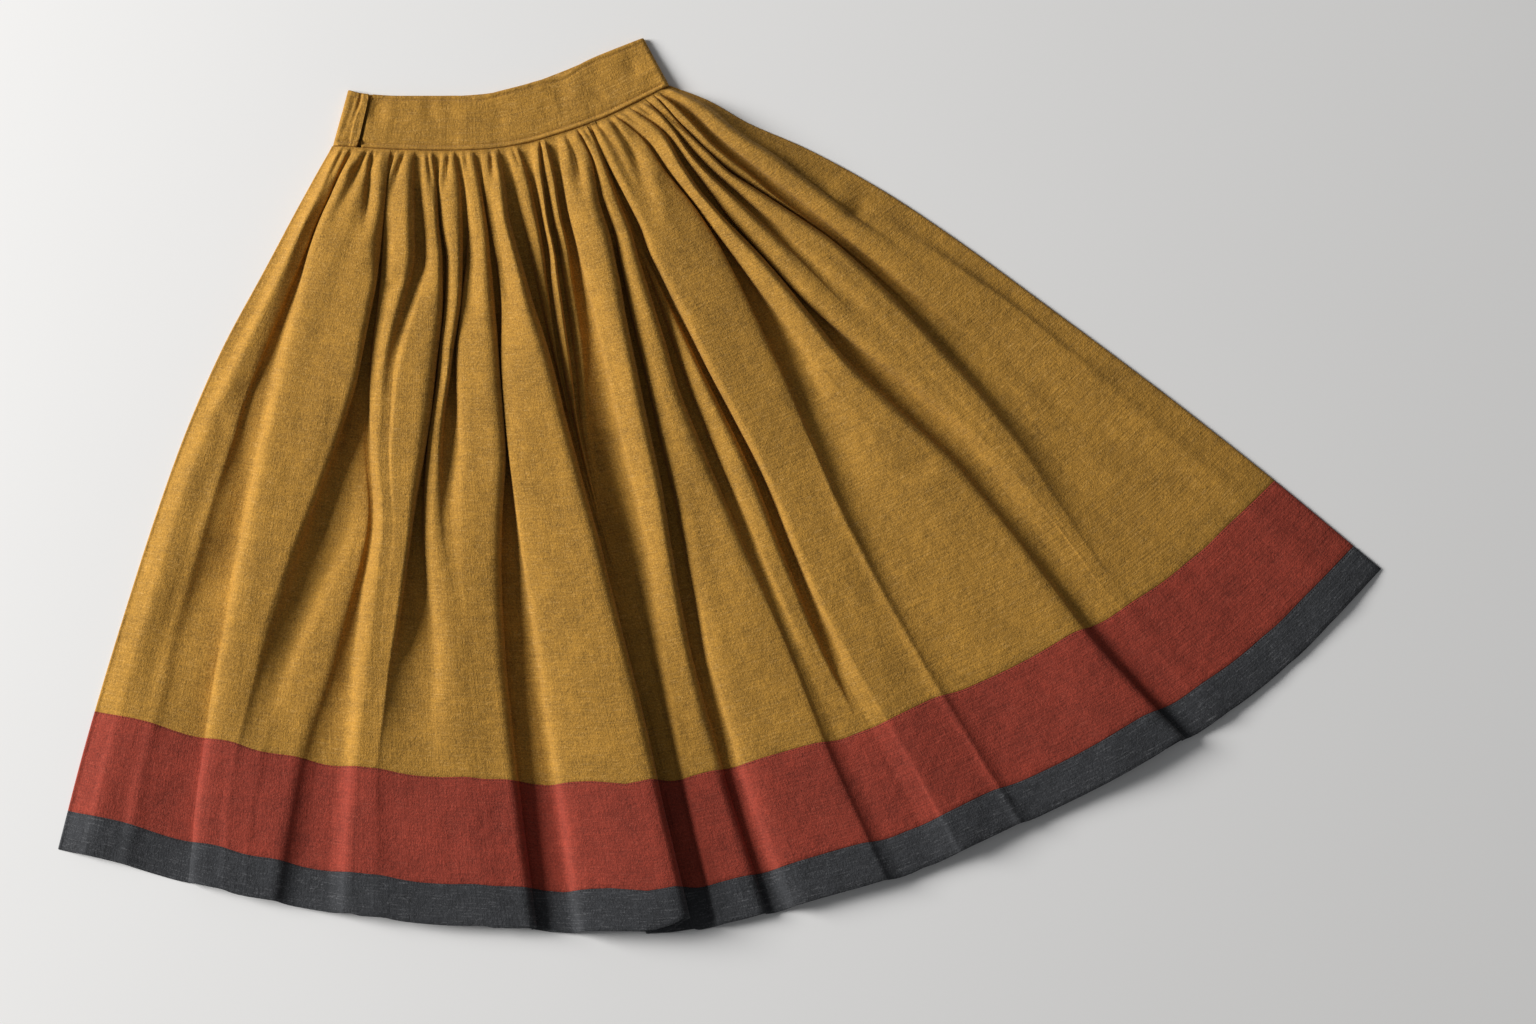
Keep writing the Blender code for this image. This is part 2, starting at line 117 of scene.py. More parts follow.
# The folds of the front, one row each. left and right are the fold's edges as shares of the way across, crest
# is the height of its top and valley that of the trough on its right, above the layer below. Each holds a
# value for every station.
STATIONS = (0.0, 0.05, 0.1, 0.15, 0.2, 0.3, 0.4, 0.5, 0.6, 0.7, 0.82, 1.0)
Fold = namedtuple("Fold", "name left right crest valley")
FOLDS = [
    Fold("placket",
         (.022, .020, .020, .020, .020, .020, .018, .014, .014, .014, .014, .014),
         (.052, .051, .051, .052, .054, .057, .056, .050, .048, .046, .046, .046),
         (3, 5, 7, 7.5, 8, 8.5, 7.5, 7, 6.5, 6.5, 6, 5), (1, 1, 1, 1, 1, 1, 2.5, 1.5, 1.5, 1.5, 1.5, 1.5)),
    Fold("first",
         (.068, .058, .055, .058, .067, .080, .089, .0895, .0895, .0895, .0905, .093),
         (.168, .178, .185, .190, .194, .193, .179, .158, .140, .124, .116, .118),
         (4, 10, 13, 15, 16, 17, 16, 15, 14, 12.5, 11.5, 10), (1, 5, 5, 3, 1, 1, 1, 1.5, 2.5, 5, 10.3, 9.8)),
    Fold("first_swell",
         (.1742, .180, .1895, .1935, .1955, .198, .202, .210, .184, .159, .142, .136),
         (.1765, .181, .1905, .1945, .1965, .202, .210, .220, .205, .188, .168, .156),
         (1, 5, 5, 3, 1, 1, 1.5, 4.5, 7, 8, 9.2, 9.7), (1, 5, 5, 3, 1, 1, 1, 3, 3, 3, 3.5, 4.5)),
    Fold("second",
         (.186, .180, .187, .195, .201, .208, .218, .227, .2185, .212, .206, .201),
         (.236, .243, .251, .256, .246, .231, .231, .239, .231, .225, .217, .211),
         (4, 10, 13, 14, 14, 14, 15, 16.5, 16, 14.8, 13.2, 11.3),
         (1, 4, 4, 5, 8.5, 13, 15, 16.5, 16, 14.8, 13.2, 11.3)),
    Fold("second_side",
         (.262, .263, .272, .280, .270, .248, .242, .249, .240, .233, .223, .216),
         (.288, .299, .304, .310, .310, .299, .283, .267, .254, .241, .232, .232),
         (4, 9, 12, 14, 15, 17, 17.5, 17.2, 16.3, 15, 13.2, 11.3),
         (1, 4, 3, 1.5, 1, 1, 1, 1.5, 3, 8, 11.5, 10.6)),
    Fold("third",
         (.316, .304, .308, .316, .313, .301, .286, .280, .282, .286, .289, .286),
         (.349, .356, .353, .346, .339, .319, .305, .298, .303, .305, .306, .304),
         (4, 10, 13, 14, 14, 15, 15.5, 15.5, 14.8, 13.5, 12.1, 10.4),
         (1, 5, 5, 3, 1, 2, 8, 14, 14.8, 13.5, 12.1, 10.4)),
    Fold("third_side",
         (.368, .368, .366, .355, .3405, .325, .325, .320, .315, .315, .315, .313),
         (.403, .406, .404, .399, .394, .386, .379, .363, .3505, .3455, .343, .340),
         (4, 10, 14, 15, 16, 17, 17, 16.5, 15.1, 13.7, 12.3, 10.5), (1, 5, 5, 4, 2, 1, 1, 1, 1, 1, 1, 1)),
    Fold("fourth",
         (.430, .413, .408, .408, .405, .389, .383, .380, .379, .377, .3745, .371),
         (.474, .464, .453, .4525, .454, .460, .461, .461, .459, .4565, .4535, .448),
         (4, 11, 14.5, 16.4, 18.2, 19.6, 20.2, 20.2, 20.2, 19.8, 19, 18),
         (1, 4, 4, 3, 2, 1, 1, 1, 1, 1, 1, 1)),
    Fold("fifth",
         (.503, .489, .480, .474, .469, .4650, .4640, .4640, .462, .4595, .4565, .451),
         (.530, .522, .512, .500, .484, .4695, .4655, .4652, .463, .4605, .4575, .452),
         (4, 9, 11, 11, 9, 6, 2, 1, 1, 1, 1, 1),
         (1, 4, 3, 2, 2, 2, 1, 1, 1, 1, 1, 1)),
    Fold("sixth",
         (.574, .538, .523, .509, .492, .4745, .4670, .4665, .464, .4615, .4585, .453),
         (.594, .556, .535, .521, .505, .486, .4700, .4675, .465, .4625, .4595, .454),
         (4, 9, 11, 12, 12, 11, 6, 1, 1, 1, 1, 1), (1, 4, 2, 1, 1, 1, 1, 1, 1, 1, 1, 1)),
    Fold("sixth_side",
         (.600, .564, .543, .528, .512, .493, .4760, .4695, .467, .4640, .4610, .455),
         (.612, .585, .562, .545, .529, .506, .4820, .4710, .468, .4650, .4620, .456),
         (4, 9, 10, 9, 7, 5, 3, 1, 1, 1, 1, 1), (1, 3, 1, 1, 1, 1, 1, 1, 1, 1, 1, 1)),
    Fold("seventh",
         (.655, .604, .580, .564, .550, .533, .521, .512, .499, .487, .476, .468),
         (.704, .680, .648, .626, .603, .573, .554, .538, .521, .5105, .5055, .502),
         (4, 11, 15, 18, 20, 21, 21, 19, 16, 12, 8.5, 6.5), (1, 6, 5, 3, 1, 1, 1, 1, 1, 1, 1, 1)),
    Fold("eighth",
         (.711, .686, .655, .635, .613, .585, .566, .551, .536, .524, .520, .518),
         (.737, .706, .686, .665, .644, .619, .605, .600, .596, .592, .588, .588),
         (4, 10, 13, 16, 18, 18, 18, 16, 14, 12.5, 11.5, 10), (1, 6, 5, 4, 2, 1, 2, 4, 7, 8, 7, 6)),
    Fold("ninth",
         (.746, .714, .691, .670, .651, .630, .618, .613, .610, .609, .609, .609),
         (.764, .719, .697, .673, .656, .646, .643, .637, .628, .621, .618, .616),
         (1, 1, 1, 1, 3, 9, 13, 14, 12, 9.5, 7.5, 6.5), (1, 1, 1, 1, 1, 2, 2, 1, 1, 2.5, 7.5, 6.5)),
    Fold("tenth",
         (.748, .711, .699, .682, .664, .654, .650, .647, .639, .633, .637, .641),
         (.817, .814, .798, .784, .771, .746, .727, .709, .694, .689, .688, .689),
         (4, 11, 15, 17, 18, 19, 18, 17, 15, 13, 11, 9.5), (1, 5, 4, 2, 1, 2, 4, 7, 9, 9, 7.5, 6.5)),
    Fold("eleventh",
         (.825, .822, .806, .790, .779, .770, .769, .768, .768, .768, .768, .768),
         (.864, .863, .839, .816, .806, .802, .798, .808, .8175, .8145, .812, .819),
         (4, 11, 15, 17, 18, 17, 15, 14, 13.5, 13, 12, 11), (1, 6, 4, 2, 1, 1, 1, 3.5, 5, 5, 4, 3)),
    Fold("twelfth",
         (.872, .869, .849, .827, .812, .805, .818, .838, .850, .848, .842, .842),
         (.917, .888, .866, .852, .845, .840, .844, .854, .857, .852, .845, .845),
         (4, 11, 14, 16, 17, 16, 13, 12, 11, 8.4, 5.6, 4.6), (1, 6, 4, 3, 6, 13, 13, 12, 11, 8.4, 5.6, 4.6)),
    Fold("thirteenth",
         (.924, .892, .873, .860, .856, .863, .867, .867, .863, .856, .848, .848),
         (.944, .908, .894, .880, .884, .895, .893, .887, .878, .865, .854, .854),
         (4, 9, 12, 14, 14, 15, 14, 13, 11.2, 8.6, 5.7, 4.7), (1, 5, 3, 1, 1, 1, 2, 4, 5, 5, 4.5, 4)),
    Fold("fourteenth",
         (.949, .912, .898, .885, .888, .897, .900, .900, .900, .900, .900, .900),
         (.962, .933, .917, .904, .896, .901, .905, .910, .910, .910, .910, .910),
         (4, 9, 10, 9, 7, 3, 3, 4, 4.5, 4.5, 4, 3.5), (1, 1, 1, 1, 1, 1.5, 2.5, 4, 4.5, 4.5, 4, 3.5)),
    Fold("fifteenth",
         (.967, .949, .935, .921, .914, .909, .916, .930, .930, .930, .930, .930),
         (.990, .987, .975, .964, .952, .942, .945, .950, .950, .950, .950, .950),
         (4, 9, 11, 12, 12, 10, 7, 4, 4, 4, 4, 3), (1, 1, 1, 2, 4, 5, 6, 4, 4, 4, 4, 3)),
]

# How far a fold's edge leans over the trough beside it, in mm for every station
RIGHT_TUCKS = {
    "second_side": (0, 1, 2, 3, 3, 4, 5, 6, 4, 2, 1, 1),
    "third_side": (0, 1, 2, 2, 3, 4, 5, 5, 5, 5, 6, 8),
    "fourth": (0, 1, 2, 3, 5, 9, 12, 16, 22, 28, 38, 46),
    "seventh": (0, 1, 3, 4, 4, 6, 7, 8, 7, 5, 3, 2),
    "eighth": (0, 1, 3, 4, 4, 5, 4, 2, 0, 0, 0, 0),
    "tenth": (0, 1, 3, 4, 4, 4, 3, 1, 0, 0, 0, 0),
    "eleventh": (0, 1, 3, 4, 4, 3, 3, 1, 1, 2, 4, 7),
    "thirteenth": (0, 1, 3, 3, 2, 1, 0, 0, 0, 0, 0, 0),
}
LEFT_TUCKS = {
    "first": (0, 0, 1, 1, 1, 1, 2, 2, 3, 4, 5, 6),
}
TUCK_PER_RISE = 0.12

# How far a soft side runs out from the fold's edge, in mm for every station
RIGHT_RUNS = {
    "placket": (1, 2, 2, 3, 4, 5, 10, 26, 40, 46, 50, 50),
    "first": (0, 0, 2, 3, 4, 6, 10, 22, 32, 40, 44, 44),
    "first_swell": (0, 0, 0, 0, 0, 0, 0, 8, 14, 20, 22, 20),
    "second": (0, 3, 6, 8, 10, 12, 12, 12, 12, 12, 12, 12),
    "second_side": (0, 0, 0, 0, 0, 4, 6, 8, 16, 28, 36, 36),
    "third": (0, 2, 3, 3, 3, 4, 10, 12, 12, 12, 12, 12),
    "fifth": (0, 2, 4, 5, 6, 6, 3, 1, 1, 1, 1, 1),
    "sixth_side": (0, 4, 6, 8, 10, 12, 8, 2, 2, 2, 2, 2),
    "eighth": (0, 0, 0, 2, 3, 6, 10, 14, 16, 18, 20, 20),
    "ninth": (0, 0, 2, 3, 3, 4, 4, 6, 7, 8, 6, 6),
    "tenth": (0, 0, 2, 4, 8, 14, 20, 24, 24, 22, 22, 20),
    "eleventh": (0, 0, 2, 4, 5, 7, 12, 18, 20, 22, 20, 14),
    "twelfth": (0, 2, 5, 6, 8, 10, 14, 14, 14, 14, 14, 14),
    "thirteenth": (0, 0, 2, 4, 6, 10, 16, 24, 30, 36, 40, 40),
    "fourteenth": (0, 3, 6, 8, 8, 8, 8, 8, 8, 8, 8, 8),
    "fifteenth": (0, 1, 2, 3, 6, 12, 20, 24, 24, 24, 24, 24),
}
LEFT_RUNS = {
    "placket": (6, 8, 9, 10, 10, 13, 18, 26, 30, 32, 34, 36),
    "first": (0, 0, 0, 0, 3, 5, 6, 7, 7, 7, 6, 6),
    "first_swell": (0, 0, 0, 0, 0, 0, 6, 12, 18, 22, 22, 18),
    "second": (0, 0, 2, 3, 4, 6, 6, 6, 10, 12, 14, 14),
    "second_side": (0, 4, 7, 9, 12, 16, 9, 9, 9, 9, 9, 9),
    "third": (0, 0, 0, 2, 3, 4, 5, 6, 8, 12, 20, 20),
    "third_side": (0, 2, 3, 4, 4, 6, 12, 16, 16, 16, 16, 16),
    "seventh": (0, 3, 4, 4, 5, 8, 14, 24, 30, 32, 26, 22),
    "eighth": (0, 2, 4, 6, 8, 11, 13, 14, 14, 14, 12, 12),
    "ninth": (0, 2, 3, 5, 7, 11, 13, 14, 14, 14, 14, 14),
    "tenth": (0, 3, 5, 6, 7, 6, 5, 5, 7, 10, 26, 34),
    "eleventh": (0, 2, 3, 5, 8, 14, 22, 44, 66, 80, 84, 86),
    "twelfth": (0, 2, 3, 4, 6, 8, 10, 12, 16, 26, 34, 36),
    "thirteenth": (0, 2, 4, 5, 7, 14, 18, 20, 20, 20, 20, 20),
    "fourteenth": (0, 2, 4, 5, 6, 10, 12, 12, 12, 12, 12, 12),
    "fifteenth": (0, 4, 7, 9, 9, 9, 14, 20, 20, 20, 20, 20),
}
GAP_MOST = 0.86
NOTHING = (0,) * len(STATIONS)

# The shape of a fold across itself: the heights of its edges, turns and top as shares of its rise
LEFT_TOP, MIDDLE_TOP = (0.78, 0.88), (0.94, 0.97)
EDGE_SHARE = 0.24

# The camera's place over the floor. The tables give places as the camera sees them on the floor, so a raised
# point lies nearer to the spot below it.
CAMERA_OVER = np.array((48.5, -25.5))
CAMERA_HIGH = 2800
CAMERA_FADE = 0.08

# How much a fold's crown slopes down to the right, in mm for every station
TILTS = {
    "placket": (0, 1.2, 2.4, 2.6, 2.6, 2.4, 2, 2, 2, 2, 2, 2),
    "first": (0, 0.4, 0.8, 0.8, 0.8, 0.8, 0.8, 0.8, 0.8, 0.8, 0.8, 0.8),
    "second": (0, -1, -2, -2.4, -2, -1, 0, 0, 0, 0, 0, 0),
    "fourth": (0, -1.4, -2.4, -2.6, -2.6, -2.4, -2, -2, -1.8, -1.6, -1.4, -1),
    "eighth": (0, 0.4, 0.8, 0.8, 0.8, 0.8, 0.8, 0.8, 0.8, 0.8, 0.8, 0.8),
    "tenth": (0, 1.2, 2.6, 3, 3.4, 3.4, 3, 3, 2.6, 2.4, 2, 2),
    "eleventh": (0, -0.6, -1.2, -1.2, -1, -0.8, -0.6, -0.4, 0, 0, 0, 0),
}
LEFT_EDGE_MM, RIGHT_EDGE_MM = 6, 8
LOW_LIP, HIGH_LIP = 0.36, 0.62
LOW_RISE, HIGH_RISE = 7, 24
SOFT_LIP = 0.80
RIGHT_LIP_MORE = 0.12
RELIEF = 1.42

# Pairs for a crisp side and for a soft one: the turn's height as a share of the edge's, and where the turns
# and the right foot lie as shares of the side's run
TURN_HEIGHT = (0.3, 0.5)
LEFT_TURN_AT = (0.35, 0.5)
RIGHT_TURN_AT = (0.08, 0.32)
RIGHT_FOOT_AT = (0.75, 1.0)
RIGHT_TURN_SOFTNESS = 0.6
LEFT_TURN_LEAN, RIGHT_TURN_LEAN = 0.7, 0.6

# The share of the height that draws the seams along: at the left foot, turn and edge, over the crown from its
# start and on across it, and at the right edge, turn and foot
DRAWN_LEFT = (0.25, 0.3, 0.35)
DRAWN_CROWN = (0.35, 0.45)
DRAWN_RIGHT = (0.8, 0.4, 0.25)
FLANK_PER_RISE = 0.5
SOFT_FLANK = 16
SOFT_RISE = 3.5
SOFT_FROM, SOFT_OVER = 0.8, 1.3
EDGE_WANDER = 1.0
FLAT_SIDE_RISE = 2.6

# Slow uneven swells of the front: seed, bumps down and across, height
Swell = namedtuple("Swell", "seed down across height")
SWELLS = (Swell(13, 34, 84, 0.42), Swell(5, 9, 46, 0.8), Swell(8, 5, 15, 1.1))

# The small gathers' valleys at the waist seam: fold, place along the seam, where each dies away, depth, and
# half its width there
Valley = namedtuple("Valley", "s low end width depth")
VALLEYS = [
    Valley(.036, .034, .06, 2.6, 2.0), Valley(.104, .084, .11, 5.0, 3.4), Valley(.120, .160, .14, 2.4, 3.0),
    Valley(.137, .135, .035, 3.0, 1.8), Valley(.210, .186, .075, 3.2, 3.0), Valley(.273, .294, .07, 2.0, 2.2),
    Valley(.334, .314, .075, 3.0, 3.0), Valley(.382, .378, .04, 2.8, 2.0), Valley(.453, .434, .06, 3.0, 2.8),
    Valley(.516, .512, .04, 2.2, 1.6), Valley(.672, .612, .11, 2.8, 2.6), Valley(.685, .660, .04, 1.8, 1.4),
    Valley(.724, .710, .04, 1.8, 1.4), Valley(.765, .703, .15, 3.8, 2.6), Valley(.804, .735, .12, 3.6, 3.2),
    Valley(.843, .838, .04, 2.0, 1.6), Valley(.890, .872, .05, 2.0, 1.8), Valley(.906, .902, .10, 2.4, 2.4),
    Valley(.957, .943, .09, 3.4, 2.6), Valley(.972, .965, .04, 2.4, 1.6),
]
VALLEY_WIDTH = 1.2
VALLEY_RELIEF = 1.5
VALLEY_FEATHER = 0.45

# Creases and ridges of the front, each a line through places (s, t), with its depth (a ridge is above 0) and
# half its width
Crease = namedtuple("Crease", "path depth width")
CREASES = [
    Crease([(.004, .04), (.016, .09), (.029, .16), (.036, .26)], 1.6, 3.5),
    Crease([(.016, .395), (.032, .40), (.048, .42)], -3.6, 5),
    Crease([(.088, .52), (.062, .62), (.044, .72), (.038, .80)], -2.4, 12),
    Crease([(.090, .42), (.062, .50), (.036, .60), (.020, .70)], 2.0, 14),
    Crease([(.085, .66), (.070, .76), (.064, .90)], 1.6, 10),
    Crease([(.028, .62), (.020, .78), (.016, .95)], -1.6, 9),
    Crease([(.074, .030), (.094, .036), (.118, .020)], -3.6, 5),
    Crease([(.122, .005), (.138, .040), (.150, .080), (.158, .130)], -4.0, 4.5),
    Crease([(.132, .005), (.149, .040), (.161, .090), (.167, .175)], 3.0, 6),
    Crease([(.130, .20), (.127, .34), (.118, .50)], -1.4, 14),
    Crease([(.105, .35), (.104, .60), (.098, .80)], 1.2, 10),
    Crease([(.180, .30), (.165, .42), (.140, .55)], -1.6, 9),
    Crease([(.186, .10), (.196, .155), (.207, .192)], -4.5, 4.5),
    Crease([(.206, .196), (.228, .185), (.252, .162)], -3.2, 4),
    Crease([(.196, .07), (.225, .10), (.256, .130)], 2.2, 8),
    Crease([(.220, .388), (.236, .385), (.250, .372)], -1.4, 4),
    Crease([(.222, .43), (.245, .44), (.262, .42)], -1.2, 6),
    Crease([(.370, .08), (.361, .15), (.352, .22), (.343, .28)], -4.4, 6),
    Crease([(.330, .405), (.345, .42), (.362, .41)], -2.4, 6),
    Crease([(.312, .29), (.306, .40), (.300, .50), (.298, .60)], -2.6, 9),
    Crease([(.290, .62), (.300, .72), (.312, .84)], 1.4, 14),
    Crease([(.407, .13), (.411, .19), (.420, .215)], -2.6, 4),
    Crease([(.400, .22), (.404, .35), (.404, .50)], 1.4, 12),
    Crease([(.430, .30), (.433, .50), (.430, .70)], -1.6, 12),
    Crease([(.385, .635), (.410, .66), (.440, .655)], -0.9, 5),
    Crease([(.380, .72), (.405, .735), (.445, .70)], -1.0, 5),
    Crease([(.395, .77), (.398, .88), (.396, .99)], -1.0, 10),
    Crease([(.695, .015), (.655, .040), (.622, .070), (.598, .110)], -2.6, 4),
    Crease([(.583, .46), (.563, .58), (.545, .70)], -3.4, 10),
    Crease([(.556, .62), (.552, .72), (.552, .86)], -1.4, 10),
    Crease([(.838, .012), (.792, .048), (.757, .088), (.724, .132), (.694, .185)], -3.2, 5),
    Crease([(.800, .065), (.765, .105), (.735, .145), (.710, .20)], 2.0, 6),
    Crease([(.720, .25), (.690, .42), (.668, .60)], -1.4, 16),
    Crease([(.766, .572), (.790, .571), (.814, .569)], -2.8, 5),
    Crease([(.766, .590), (.790, .589), (.812, .587)], 1.6, 6),
    Crease([(.775, .64), (.765, .76), (.770, .97)], -1.6, 22),
    Crease([(.812, .37), (.822, .345), (.838, .333)], -1.6, 5),
    Crease([(.868, .30), (.868, .45), (.862, .60)], 1.2, 14),
    Crease([(.938, .262), (.954, .272), (.974, .280)], -5.0, 4.5),
    Crease([(.942, .238), (.964, .247), (.990, .252)], 2.0, 6),
    Crease([(.926, .39), (.950, .45), (.982, .50)], 1.4, 12),
    Crease([(.912, .43), (.932, .50), (.950, .55)], -1.4, 12),
    Crease([(.918, .545), (.940, .546), (.962, .543)], -0.9, 5),
    Crease([(.885, .60), (.905, .75), (.915, .95)], -1.0, 24),
]

# Bars across the waistband's front: place s, share of the way up, half its width along and up, depth
Ripple = namedtuple("Ripple", "s up along high depth")
RIPPLE_RELIEF = 1.6
RIPPLES = [
    Ripple(.104, .74, 5, 6, -1.2), Ripple(.118, .72, 7, 9, -1.0), Ripple(.145, .60, 5, 12, 0.5),
    Ripple(.270, .70, 5, 11, -0.8),
    Ripple(.245, .55, 9, 14, 0.4), Ripple(.345, .40, 5, 15, -0.45), Ripple(.375, .65, 7, 14, 0.4),
    Ripple(.485, .60, 6, 14, -0.45), Ripple(.560, .50, 9, 15, 0.4), Ripple(.690, .72, 8, 10, -1.0),
    Ripple(.735, .60, 7, 14, 0.5), Ripple(.800, .45, 9, 14, -0.35), Ripple(.930, .62, 6, 8, -1.2),
    Ripple(.945, .36, 7, 3, 0.7), Ripple(.965, .50, 6, 12, -0.5), Ripple(.640, .30, 8, 9, -0.3),
]
# Where the front of the waistband dips below its back: place s, half its width along, depth
DIPS = [(.425, 12, 2.0), (.708, 13, 3.4)]

BAND_CLOTH = 2.6
BAND_START = 0.084
BAND_TURN = 0.016
LAP_END = 0.07
BAND_HEIGHT = 51
BAND_STRETCHES = FRONT, RIGHT_TURN, BACK, LEFT_TURN, LAP = range(5)
# The rows of top-stitching, in mm from the waistband's lower and upper edge, and how far they stand out
LOW_STITCHES, HIGH_STITCHES = 4.1, 4.4
STITCH_LIFT = 0.12
# The stitches of the bands' seams, in mm from the seam, and how far they stand out, here sunk in
SEAM_STITCHES = 1.0
SEAM_STITCH_LIFT = -0.2

# How the cloth dips into a seam: its share of the thickness, and half the dip's width
SEAM_DIP = 0.7
SEAM_DIP_WIDTH = 1.3
BACK_CLOTH = 1.0

# Fineness of the meshes
WALL_ROWS = 88
RED_BAND_LENGTH, RED_BAND_ROWS = 107, 14
HEM_BAND_LENGTH, HEM_BAND_ROWS = 41, 7
BACK_COLUMNS = 216
BACK_ROWS = 60
BACK_GATHERS = 36

MUSTARD_SLOT, RUST_SLOT, CHARCOAL_SLOT = "mustard_cloth", "rust_cloth", "charcoal_cloth"
ROOT = "root"


# Curves and the plan of the panels


def read_curves(knots, values, at):
    """Read smooth curves at places: values has one curve a row, and none overshoots between two knots."""
    step = np.diff(knots)
    slope = np.diff(values, axis=1) / step
    rate = np.zeros_like(values)
    rate[:, 0] = slope[:, 0]
    rate[:, -1] = slope[:, -1]
    before, after = slope[:, :-1], slope[:, 1:]
    near, far = 2 * step[1:] + step[:-1], step[1:] + 2 * step[:-1]
    same = before * after > 0
    mean = near / np.where(same, before, 1.0) + far / np.where(same, after, 1.0)
    rate[:, 1:-1] = np.where(same, (near + far) / np.where(same, mean, 1.0), 0.0)
    i = np.clip(np.searchsorted(knots, at, side="right") - 1, 0, len(knots) - 2)
    u = (at - knots[i]) / step[i]
    start = (1 + 2 * u) * (1 - u) ** 2 * values[:, i] + u * (1 - u) ** 2 * step[i] * rate[:, i]
    end = u * u * (3 - 2 * u) * values[:, i + 1] + u * u * (u - 1) * step[i] * rate[:, i + 1]
    return start + end


def curve(x, y):
    """Return a smooth function through (x, y)."""
    knots, values = np.array(x, float), np.array([y], float)
    return lambda at: read_curves(knots, values, np.ravel(at))[0].reshape(np.shape(at))


def edge(points):
    """Return the smooth line through points as a function of the share of its length."""
    points = np.array(points, float)
    run = np.concatenate([[0], np.cumsum(np.linalg.norm(np.diff(points, axis=0), axis=1))])
    along_x, along_y = curve(run / run[-1], points[:, 0]), curve(run / run[-1], points[:, 1])
    return lambda at: np.stack([along_x(at), along_y(at)], axis=-1)


waist, waist_top, left_side, right_side, hem = map(
    edge, (WAIST_SEAM, WAIST_TOP, LEFT_SIDE, RIGHT_SIDE, HEM))


def fan(s, t):
    """Return the plan place (x, y) in mm of the share s across and t down."""
    s, t = np.broadcast_arrays(np.asarray(s, float), np.asarray(t, float))
    ss, tt = s[..., None], t[..., None]
    across = (1 - tt) * waist(s) + tt * hem(s)
    down = (1 - ss) * left_side(t) + ss * right_side(t)
    corners = ((1 - ss) * (1 - tt) * waist(0.0) + ss * (1 - tt) * waist(1.0)
               + (1 - ss) * tt * hem(0.0) + ss * tt * hem(1.0))
    return across + down - corners


def soft_step(x):
    """Return 0 below 0, 1 above 1 and a soft step between."""
    x = np.clip(x, 0.0, 1.0)
    return x * x * (3 - 2 * x)


def blend(pair, share):
    """Return the value at a share of the way from the first of a pair to the second."""
    return pair[0] + (pair[1] - pair[0]) * share


def panel_width(t):
    """Return the panel's width in mm at t."""
    return WAIST_LENGTH + (HEM_LENGTH - WAIST_LENGTH) * t


def side_window(s):
    """Return 0 at either side and 1 away from it."""
    return soft_step(np.minimum(s, 1 - s) / SIDE_BLEND)


def gather_window(t):
    """Return the share of the waist gathers' height that is left at t."""
    return soft_step(t / SWELL) * (1 - soft_step((t - GATHERS_FULL) / (GATHERS_GONE - GATHERS_FULL)))


def soft_noise(seed, down, across, bumps_down, bumps_across):
    """Return a smooth random field from -1 to 1 at shares down and across, with the given counts of bumps."""
    field = np.random.default_rng(seed).uniform(-1, 1, (bumps_down + 2, bumps_across + 2))
    down, across = np.broadcast_arrays(down * bumps_down, across * bumps_across)
    i, j = (np.clip(np.floor(place), 0, limit).astype(int)
            for place, limit in ((down, bumps_down), (across, bumps_across)))
    u, v = soft_step(down - i), soft_step(across - j)
    upper = field[i, j] * (1 - v) + field[i, j + 1] * v
    lower = field[i + 1, j] * (1 - v) + field[i + 1, j + 1] * v
    return upper * (1 - u) + lower * u


# The cloth of the front


